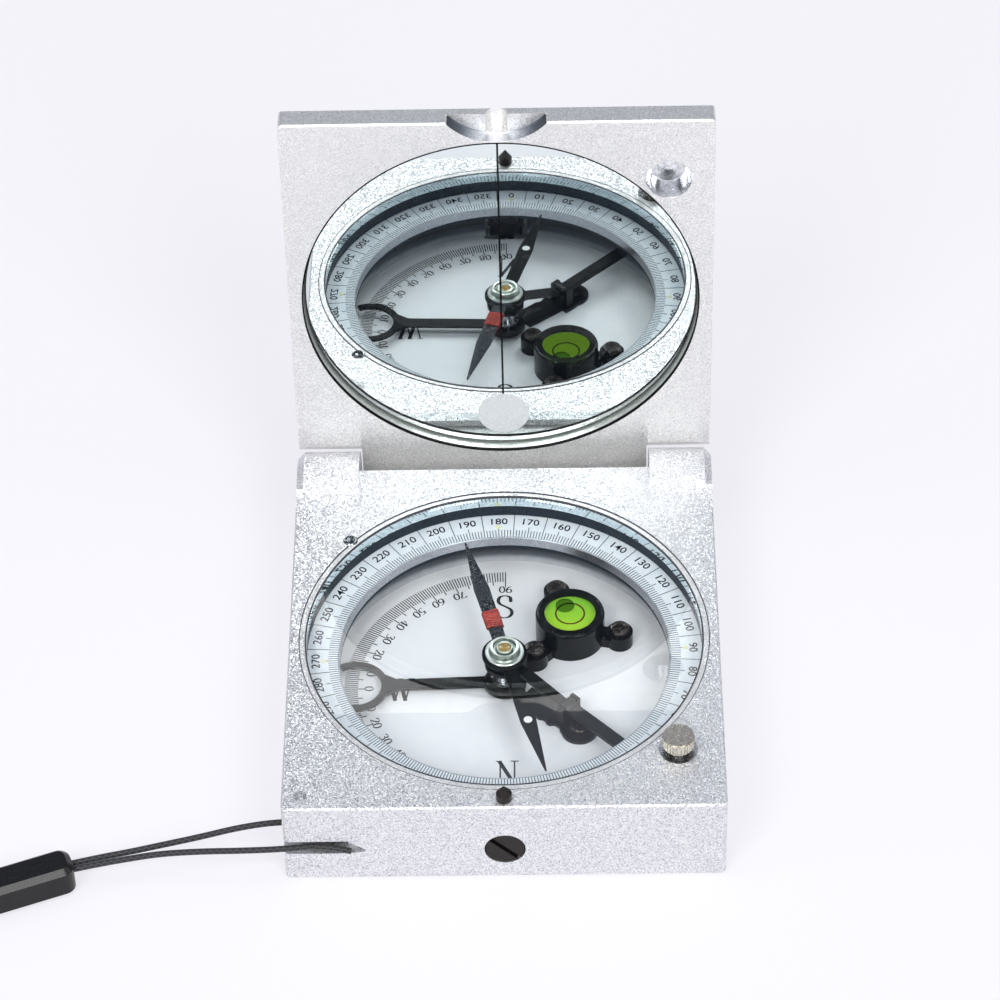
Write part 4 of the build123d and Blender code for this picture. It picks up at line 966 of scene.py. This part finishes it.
# each letter's paths, parted by a bar, as x and y in hundredths of the letter's height
PATHS = {
    "1": "33,2 33,97 | 15,85 33,96 | 15,2 50,2",
    "2": "7,72 12,90 30,97 47,90 51,72 41,48 22,22 6,5 | 5,4 56,4 | 55,4 60,18",
    "3": "8,80 18,94 32,97 46,88 45,68 34,56 22,53 | 22,53 42,48 53,28 44,8 24,2 7,8",
    "4": "42,0 42,97 | 42,97 4,28 | 4,28 60,28",
    "5": "18,95 54,95 | 18,95 11,58 | 11,58 30,61 47,51 52,30 42,10 22,2 6,6",
    "6": "54,96 28,84 11,58 8,30 16,8 32,2 49,12 54,32 46,53 31,58 12,46",
    "7": "5,78 8,94 | 8,94 56,94 | 56,94 26,0",
    "N": "17,2 17,97 | 14,97 68,2 | 66,2 66,97 | 2,97.5 22,97.5 | 5,2 30,2 | 53,97.5 80,97.5",
    "S": "49,70 47,90 30,97.5 14,92 8,76 15,61 32,50 48,38 53,22 45,7 28,1 11,8 6,28",
    "W": "10,97 34,2 | 34,2 53,97 | 48,97 72,2 | 72,2 93,97"
         " | 0,97.5 24,97.5 | 40,97.5 62,97.5 | 82,97.5 104,97.5",
}
GLYPHS = {
    letter: [
        [tuple(float(c) / 100 for c in point.split(",")) for point in path.split()]
        for path in paths.split("|")
    ]
    for letter, paths in PATHS.items()
}
GLYPHS["0"] = [oval(0.31, 0.5, 0.24, 0.47, 20)]
GLYPHS["8"] = [oval(0.31, 0.75, 0.17, 0.21, 16), oval(0.31, 0.27, 0.22, 0.25, 16)]
GLYPHS["9"] = [[(0.62 - x, 1 - y) for x, y in path] for path in GLYPHS["6"]]
WIDTHS = {"N": 0.82, "S": 0.60, "W": 1.04}
FIGURE_WIDTH, LAST_GAP = 0.66, 0.04


def rounded_path(points):
    """A path of three or more points made smooth; two points stay a straight stroke."""
    if len(points) < 3:
        return [Vector(p) for p in points]
    closed = (Vector(points[0]) - Vector(points[-1])).length < 1e-6
    ring = points[:-1] if closed else points
    n = len(ring)
    out = []
    for i in range(n if closed else n - 1):
        near = [(i + k) % n if closed else min(max(i + k, 0), n - 1) for k in (-1, 0, 1, 2)]
        p = [Vector(ring[k]) for k in near]
        bend = 2 * p[0] - 5 * p[1] + 4 * p[2] - p[3]
        twist = 3 * p[1] - p[0] - 3 * p[2] + p[3]
        for s in range(5):
            t = s / 5
            out.append(0.5 * (2 * p[1] + (p[2] - p[0]) * t + bend * t * t + twist * t**3))
    out.append(Vector(ring[0 if closed else -1]))
    return out


def pen_text(body, height_mm, thick, thin, widen):
    """The mesh of a word drawn with a broad pen, centred on the origin."""
    shape = bmesh.new()
    cursor = 0.0
    for letter in body:
        for path in GLYPHS[letter]:
            line = rounded_path(path)
            rows = []
            for i, here in enumerate(line):
                a, b = line[max(i - 1, 0)], line[min(i + 1, len(line) - 1)]
                way = (b - a).normalized()
                steep = abs(way.y) ** 1.3
                # an N's posts and the rising strokes of 4 and W are thin ones
                if letter == "N" and abs(way.x) < 0.05:
                    steep *= 0.15
                if letter in "4W" and way.x * way.y > 0 and abs(way.x) > 0.1:
                    steep *= 0.2
                across = Vector((-way.y, way.x)) * (thin + (thick - thin) * steep) / 2
                sides = (here + across, here - across)
                rows.append([shape.verts.new((p.x + cursor, p.y, 0)) for p in sides])
            for (a, b), (c, d) in zip(rows, rows[1:]):
                shape.faces.new((a, b, d, c))
        cursor += WIDTHS.get(letter, FIGURE_WIDTH)
    wide = cursor - (LAST_GAP if len(body) > 1 else 0)
    for v in shape.verts:
        v.co = Vector(((v.co.x - wide / 2) * widen, v.co.y - 0.5, 0)) * height_mm * MM
    mesh = bpy.data.meshes.new("pen")
    bmesh.ops.recalc_face_normals(shape, faces=shape.faces)
    shape.to_mesh(mesh)
    shape.free()
    return thickened(mesh, INK_T)


# %% [markdown]
# The three letters stand upright to a reader at the front. The figures of the plumb
# scale follow their circle, from 0 at the west to 90 both ways.

# %% Dial printing
LETTERS = (  # letter, height, thick stroke, widening, place
    ("N", 5.65, 0.15, 0.86, (0.3, -19.5)),
    ("S", 5.5, 0.115, 0.95, (-0.1, 19.0)),
    ("W", 5.3, 0.15, 0.86, (-17.8, -0.3)),
)
THIN = 0.035
FIGURE_R, FIGURE_H = 23.1, 1.55
letters = [
    (pen_text(letter, high, thick, THIN, widen), moved(*place, DIAL_TOP))
    for letter, high, thick, widen, place in LETTERS
]
for i in range(10):
    for way in (1, -1) if i else (1,):
        angle = math.pi - way * math.radians(10 * i)
        figure = pen_text(str(10 * i), FIGURE_H, 0.15, 0.05, 1.15)
        letters.append((figure, on_circle(FIGURE_R, angle, DIAL_TOP, math.pi / 2)))
dial_print = gathered("dial_letters_and_figures", letters, "base", ink)

# %% [markdown]
# ## Winding on the needle
# Red enamelled copper wire is wound around the south arm, to balance the pull that the
# north end feels. The turns lie side by side, each a little askew. A tree instances one
# rounded loop of wire along the arm, with a seeded random tilt for each.

# %% Winding
winding, given, done = new_tree("wire_winding", {
    "Int": ("Turns", "Seed"), "Float": ("Wire", "Length", "Wide", "High"), "Material": ("Finish",),
})
CORNER_SHARE, CORNER_STEPS, WIRE_SIDES = 0.45, 5, 8
loop = geometry(winding, "CurvePrimitiveQuadrilateral", Width=given["Wide"], Height=given["High"])
corner = calc(winding, "MULTIPLY", given["High"], CORNER_SHARE)
round_loop = add(
    winding, "GeometryNodeFilletCurve", {"Curve": loop, "Radius": corner, "Count": CORNER_STEPS},
    mode="POLY",
).outputs[0]
wire_profile = geometry(
    winding, "CurvePrimitiveCircle",
    Resolution=WIRE_SIDES, Radius=calc(winding, "MULTIPLY", given["Wire"], 0.5),
)
one_turn = add(
    winding, "GeometryNodeCurveToMesh", {"Curve": round_loop, "Profile Curve": wire_profile}
).outputs[0]
number = add(winding, "GeometryNodeInputIndex").outputs[0]
share = calc(winding, "DIVIDE", number, calc(winding, "SUBTRACT", given["Turns"], 1))
row = calc(winding, "MULTIPLY", calc(winding, "SUBTRACT", share, 0.5), given["Length"])
turn_points = geometry(
    winding, "Points", Count=given["Turns"], Position=triple(winding, None, None, row)
)
ASKEW = Vector((0.05, 0.09, 0.01))
askew = add(
    winding, "FunctionNodeRandomValue", {0: -ASKEW, 1: ASKEW, "Seed": given["Seed"]},
    data_type="FLOAT_VECTOR",
).outputs[0]
wound = geometry(winding, "InstanceOnPoints", Points=turn_points, Instance=one_turn, Rotation=askew)
for kind in ("RealizeInstances", "SetShadeSmooth"):
    wound = add(winding, "GeometryNode" + kind, {0: wound}).outputs[0]
wound = geometry(winding, "SetMaterial", Geometry=wound, Material=given["Finish"])
winding.links.new(wound, done.inputs[0])


def on_needle(matrix=Matrix.Identity(4)):
    """From the level, untwisted needle to where it points: dip first, then turn."""
    dipped = moved(0, 0, NEEDLE_MID) @ turned_by(NEEDLE_DIP, "X") @ moved(0, 0, -NEEDLE_MID)
    return turned_by(NEEDLE_TURN) @ dipped @ matrix


COIL_AT, DOT_AT = 8.1, -15.3  # along the needle, south and north of its pivot
coil = grow("needle_wire_winding", winding, "needle", {
    "Turns": 11, "Wire": 0.36 * MM, "Length": 3.6 * MM, "Wide": 2.7 * MM, "High": 0.62 * MM,
    "Seed": 4, "Finish": wire_red,
})
coil.data.transform(on_needle(moved(0, COIL_AT, NEEDLE_MID) @ turned_by(math.pi / 2, "X")))
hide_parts("counterweight_coil")

# %% [markdown]
# A dot of white enamel tells the north arm from the south one at a glance.

# %% White dot on the north arm
spot_mesh = disc("needle_dot", 0.72, 32, 0.03)
spot_mesh.transform(on_needle(moved(0, DOT_AT, NEEDLE_MID + 0.15)))
needle_dot = new_piece("needle_white_dot", spot_mesh, "needle", white_dot)

# %% [markdown]
# ## Round pieces
# Caps, rims and the level's bubble are all turned shapes: a profile spun around an axis.
# One helper spins a closed profile and keeps its faces outward.


# %% Spinning a profile
def spun(name, profile_mm, segments, matrix=None, gap=None):
    """A closed shape from a profile of (radius, height) points spun around Z.
    gap, in degrees from and to, leaves a closed opening in a ring."""
    shape = bmesh.new()
    rows = []
    begin, reach = (gap[1], gap[0] + 360 - gap[1]) if gap else (0, 360)
    ends = segments + 1 if gap else segments
    sweep = [math.radians(begin + reach * k / segments) for k in range(ends)]
    for r, z in profile_mm:
        spread_out = sweep if r > 1e-6 else [0.0]
        rows.append([
            shape.verts.new((r * MM * math.cos(a), r * MM * math.sin(a), z * MM))
            for a in spread_out
        ])
    pairs = list(zip(rows, rows[1:]))
    if len(rows[0]) > 1 and len(rows[-1]) > 1:
        pairs.append((rows[-1], rows[0]))
    for a, b in pairs:
        for k in range(segments):
            n = (k + 1) % len(sweep)
            if len(a) == 1:
                shape.faces.new((a[0], b[k], b[n]))
            elif len(b) == 1:
                shape.faces.new((a[k], b[0], a[n]))
            else:
                shape.faces.new((a[k], b[k], b[n], a[n]))
    if gap:
        for end in (0, -1):
            shape.faces.new([row[end] for row in rows])
    bmesh.ops.recalc_face_normals(shape, faces=shape.faces)
    mesh = bpy.data.meshes.new(name)
    shape.to_mesh(mesh)
    shape.free()
    for face in mesh.polygons:
        face.use_smooth = True
    mesh.set_sharp_from_angle(angle=math.radians(32))
    if matrix is not None:
        mesh.transform(matrix)
    return mesh


def turned(name, body, material, profile_mm, segments, matrix=None, gap=None):
    """A spun piece on a body, in a material and a slot."""
    made = new_piece(name, spun(name, profile_mm, segments, matrix, gap), body, material)
    return made


def band(in_r, out_r, low, high):
    """The profile of a plain ring, or of a disc where in_r is 0."""
    return [(in_r, low), (out_r, low), (out_r, high), (in_r, high)]


# %% [markdown]
# The chamber's wall gets a grey lining with painted light and shade: lighter near the dial, which
# throws light on it, and darker under the ring.
# The ring has a bright machined lip, and under it a black band that is a painted shadow. Fine seams
# part the window's retaining ring from the case and from the glass, whose rim is polished.

# %% Linings of the chamber, the ring and the window
ROUND = 240  # segments of a large circle
# painted light and shade: light near the dial, dark up under the ring
shade, tree, shader = finish_of("chamber_wall_painted_light_and_shade", "#8D929B", 0, 0.6)
painted_light_fall = unit(tree, part_of(tree, object_place(tree), "Z"), DIAL_TOP * MM, 7.5 * MM)
mottle_and_painted_light = calc(tree, "MULTIPLY_ADD", grain(tree, 1.5), 0.1, painted_light_fall)
painted(tree, shader, mottle_and_painted_light, [(0.0, "#D4D8DE"), (0.35, "#656A73"), (0.8, "#272B31")])
turned(
    "chamber_wall_shade_lining", "base", shade,
    [(30.2, 4.51), (31.18, 4.51), (31.18, 9.2), (31.08, 9.2), (31.06, 5.6), (30.85, 4.9),
     (30.5, 4.58)],
    ROUND, gap=(-97.5, -82.5),
)
RING_IN_R = 27.8
turned(
    "ring_machined_lip", "ring", lip_metal,
    [(RING_IN_R - 0.01, 10.75), (RING_IN_R - 0.05, 10.75), (RING_IN_R - 0.05, 12.52),
     (RING_IN_R + 0.03, RING_TOP + 0.02), (RING_IN_R + 0.2, RING_TOP + 0.02),
     (RING_IN_R - 0.01, 12.4)],
    ROUND,
)
# a black band under the lip: painted shadow under the ring
turned(
    "ring_underlip_painted_shadow", "ring", liner_black,
    [(RING_IN_R - 0.01, 10.1), (RING_IN_R - 0.04, 10.1), (RING_IN_R - 0.04, 10.74),
     (RING_IN_R - 0.01, 10.74)],
    ROUND,
)
# wider at the hinge side, where the ring stands a little proud
SEAM_W = 0.08
for label, r, widest in (("inner", 33.12, 0.3), ("outer", 34.22, 0.26)):
    seam = turned(
        "window_seam_" + label, "base", seam_grey, band(r, r + SEAM_W, 16.9, 17.125), ROUND
    )
    for v in seam.data.vertices:
        reach = math.hypot(v.co.x, v.co.y)
        if reach > (r + SEAM_W / 2) * MM:
            wider = 1 + widest * MM * (0.5 + 0.5 * v.co.y / reach) ** 1.5 / reach
            v.co.x, v.co.y = v.co.x * wider, v.co.y * wider
PLUG_AT = (-26.3, 23.0)
turned(
    "window_ring_lock_plug", "base", plug_metal,
    [(0, 16.6), (1.25, 16.6), (1.25, 17.13), (1.05, 17.3), (0.75, 17.24), (0.45, 17.3), (0, 17.34)],
    48, moved(*PLUG_AT),
)
turned(
    "window_polished_edge", "base", edge_metal, band(33.13, 33.2, 15.0, 17.02), ROUND
)

# %% [markdown]
# The cap is one turned piece with two ridges, and an amber jewel is set in its middle.

# %% Needle cap with its well and bearing
HUB_TOP = NEEDLE_MID + 0.4
cap = turned(
    "needle_cap_turned", "needle", cap_metal,
    [
        (1.02, HUB_TOP + 0.02), (3.3, HUB_TOP + 0.02), (3.3, HUB_TOP + 0.2), (3.2, HUB_TOP + 0.3),
        (2.62, HUB_TOP + 0.32), (2.5, HUB_TOP + 0.42), (2.4, 14.2), (2.46, 14.3), (2.46, 14.46),
        (2.38, 14.56), (2.2, 14.6), (2.02, 14.54), (1.94, 14.36), (1.86, 14.12), (1.5, 14.06),
        (1.42, 14.26), (1.36, 14.42), (1.22, 14.48), (1.08, 14.42), (1.02, 14.2),
    ],
    72, on_needle(),
)
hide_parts("needle_hub", "needle_cap_ring")
stone = turned(
    "needle_jewel_domed", "needle", jewel,
    [(0, 13.2), (1.0, 13.2), (1.0, 14.06), (0.86, 14.22), (0.5, 14.3), (0, 14.33)],
    40, on_needle(),
)
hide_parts("needle_jewel")

# %% [markdown]
# ## The level's circle and bubble
# The circle is printed under the vial's window. The bubble is a flat air pocket pressed
# against the glass: clear in the middle, dark green around its edge, where light bends
# away. A facing-dependent mix of clear and dark shows that.

# %% Level circle and bubble
VIAL_TOP = 9.2
CIRCLE_SHIFT = 0.8
BUBBLE_AT, BUBBLE_R, BUBBLE_H, BUBBLE_STEPS = (10.25, 14.5), 1.6, 0.38, 8
vial_cover = turned(
    "level_vial_window", "base", vial_glass,
    [(0, 9.62), (4.8, 9.62), (4.8, 9.88), (4.74, 9.93), (0, 9.93)], 72, moved(*LEVEL_AT),
)
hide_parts("level_glass")
turned(
    "level_printed_circle", "base", level_line,
    band(2.3, 2.57, VIAL_TOP + 0.01, VIAL_TOP + 0.05), 72,
    moved(LEVEL_AT[0], LEVEL_AT[1] + CIRCLE_SHIFT),
)

bubble_skin, tree = bare_material("air_bubble_edge")
look = add(tree, "ShaderNodeLayerWeight", {"Blend": 0.45}).outputs["Facing"]
see = add(tree, "ShaderNodeBsdfTransparent", {"Color": linear("#E8FFB8")})
dark = add(tree, "ShaderNodeBsdfPrincipled", {"Base Color": linear("#1F4A12"), "Roughness": 0.08})
mixed = {0: unit(tree, look, 0.2, 0.75), 1: see.outputs[0], 2: dark.outputs[0]}
mix = add(tree, "ShaderNodeMixShader", mixed)
add(tree, "ShaderNodeOutputMaterial", {"Surface": mix.outputs[0]})
foot = VIAL_TOP + 0.02
bubble_profile = [(0, VIAL_TOP + 0.37)]
for k in range(1, BUBBLE_STEPS + 1):
    t = math.pi / 2 * k / BUBBLE_STEPS
    bubble_profile.append((BUBBLE_R * math.sin(t), foot + BUBBLE_H * math.cos(t) ** 0.7))
turned(
    "level_air_bubble", "base", bubble_skin,
    bubble_profile + [(BUBBLE_R, foot), (0, foot)], 48, moved(*BUBBLE_AT),
)

# %% [markdown]
# ## Mirror, sight line and spot
# These sit on the lid, so they are set out as on a shut lid and then swung open about
# the hinge. The silvering lies a little below the glass face. A black line runs from
# the free edge to a frosted spot, which the user looks through or lines up.

# %% Lid pieces
HINGE = (0, 39.0, 11.0)
OPEN = math.radians(-92.3)
UNHINGE = tuple(-c for c in HINGE)


def on_lid(x=0.0, y=0.0):
    """From a place on the shut lid to where it is on the open one."""
    return moved(*HINGE) @ turned_by(OPEN, "X") @ moved(*UNHINGE) @ moved(x, y)


MIRROR_Y, MIRROR_R = -0.3, 33.1
SILVER_AT = 19.5
RIM_SHADOW_R = 33.52
SPOT_Y, SPOT_R = 26.5, 4.45
turned(
    "mirror_silver_layer", "lid", silvering,
    band(0, MIRROR_R, SILVER_AT, SILVER_AT + 0.1), 180, on_lid(0, MIRROR_Y),
)
# a thin black ring at the mirror's rim: a painted shadow of the recess edge
turned(
    "mirror_rim_painted_shadow", "lid", line_ink,
    [(RIM_SHADOW_R, 17.37), (RIM_SHADOW_R + 0.24, 17.37), (RIM_SHADOW_R + 0.24, 17.42), (RIM_SHADOW_R + 0.08, 17.42),
     (RIM_SHADOW_R + 0.08, 17.9), (RIM_SHADOW_R, 17.9)],
    ROUND, on_lid(0, MIRROR_Y),
)
turned(
    "mirror_frosted_spot", "lid", frosted,
    band(0, SPOT_R, SILVER_AT - 0.05, SILVER_AT), 72, on_lid(0, SPOT_Y),
)


def slab(*ranges):
    """A plain thin bar as a mesh, from its two ends in x, in y and in z."""
    shape = bmesh.new()
    bmesh.ops.create_cube(shape, size=1)
    for v in shape.verts:
        v.co = Vector([ends[c > 0] for c, ends in zip(v.co, ranges)]) * MM
    mesh = bpy.data.meshes.new("slab")
    shape.to_mesh(mesh)
    shape.free()
    return mesh


LINE_W = 0.34
line_mesh = slab(
    (-LINE_W / 2, LINE_W / 2), (-33.2, SPOT_Y - SPOT_R + 0.1), (SILVER_AT - 0.04, SILVER_AT)
)
line_mesh.transform(on_lid())
sight = new_piece("mirror_sight_line", line_mesh, "lid", line_ink)

# %% [markdown]
# The hollow that takes the brake knob when the lid shuts is a bright spun cup. It is a
# thin lining just inside the paint, with a small centre dimple.

# %% Bright cup in the lid
FACE = 17.4
turned(
    "lid_knob_cup_lining", "lid", cup_metal,
    [
        (0, FACE + 3.51), (0.35, FACE + 3.49), (0.5, FACE + 3.27), (0.8, FACE + 3.31),
        (2.7, FACE + 3.45), (2.95, FACE + 3.37), (3.6, FACE + 2.2), (3.78, FACE + 0.1),
        (3.84, FACE + 0.02), (3.84, FACE + 2.2), (3.06, FACE + 3.5), (0, FACE + 3.54),
    ],
    72, on_lid(*KNOB_CENTRE[:2]),
)

# %% [markdown]
# The finger pocket at the lid's free edge was cut with a round tool. Its curved wall gets
# a metal lining with painted shade, darker than the paint, most of all at the two ends.

# %% Wall of the finger pocket
POCKET_AT, POCKET_R, POCKET_HALF = -45.0, 10.9, 10.0
pocket_metal, tree, shader = finish_of("pocket_wall_painted_shade", "#8C929B", 0.8, 0.34)
across = calc(tree, "ABSOLUTE", part_of(tree, object_place(tree), "X"))
away = calc(tree, "MULTIPLY", across, 1 / (POCKET_HALF * MM))
# painted shade: darker towards the pocket's two ends
painted(tree, shader, calc(tree, "MULTIPLY_ADD", grain(tree, 0.3), 0.3, away), [
    (0.25, "#D9DBDF"), (0.5, "#9BA0A8"), (0.75, "#59606B"), (1.0, "#2F353F"),
])
turned(
    "lid_pocket_wall", "lid", pocket_metal,
    [(POCKET_R - 0.06, FACE + 0.12), (POCKET_R + 0.02, FACE + 0.02), (POCKET_R + 0.02, FACE + 2.49),
     (POCKET_R - 0.25, FACE + 2.49), (POCKET_R - 0.06, FACE + 2.2)],
    96, on_lid(0, POCKET_AT), (138.5, 401.5),
)

# %% [markdown]
# ## Finish
# The box of the imported model and the box of all that is shown are the last cell's value.

# %% Sizes and finish
{"cad": cad_box, "visual": plain(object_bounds())}
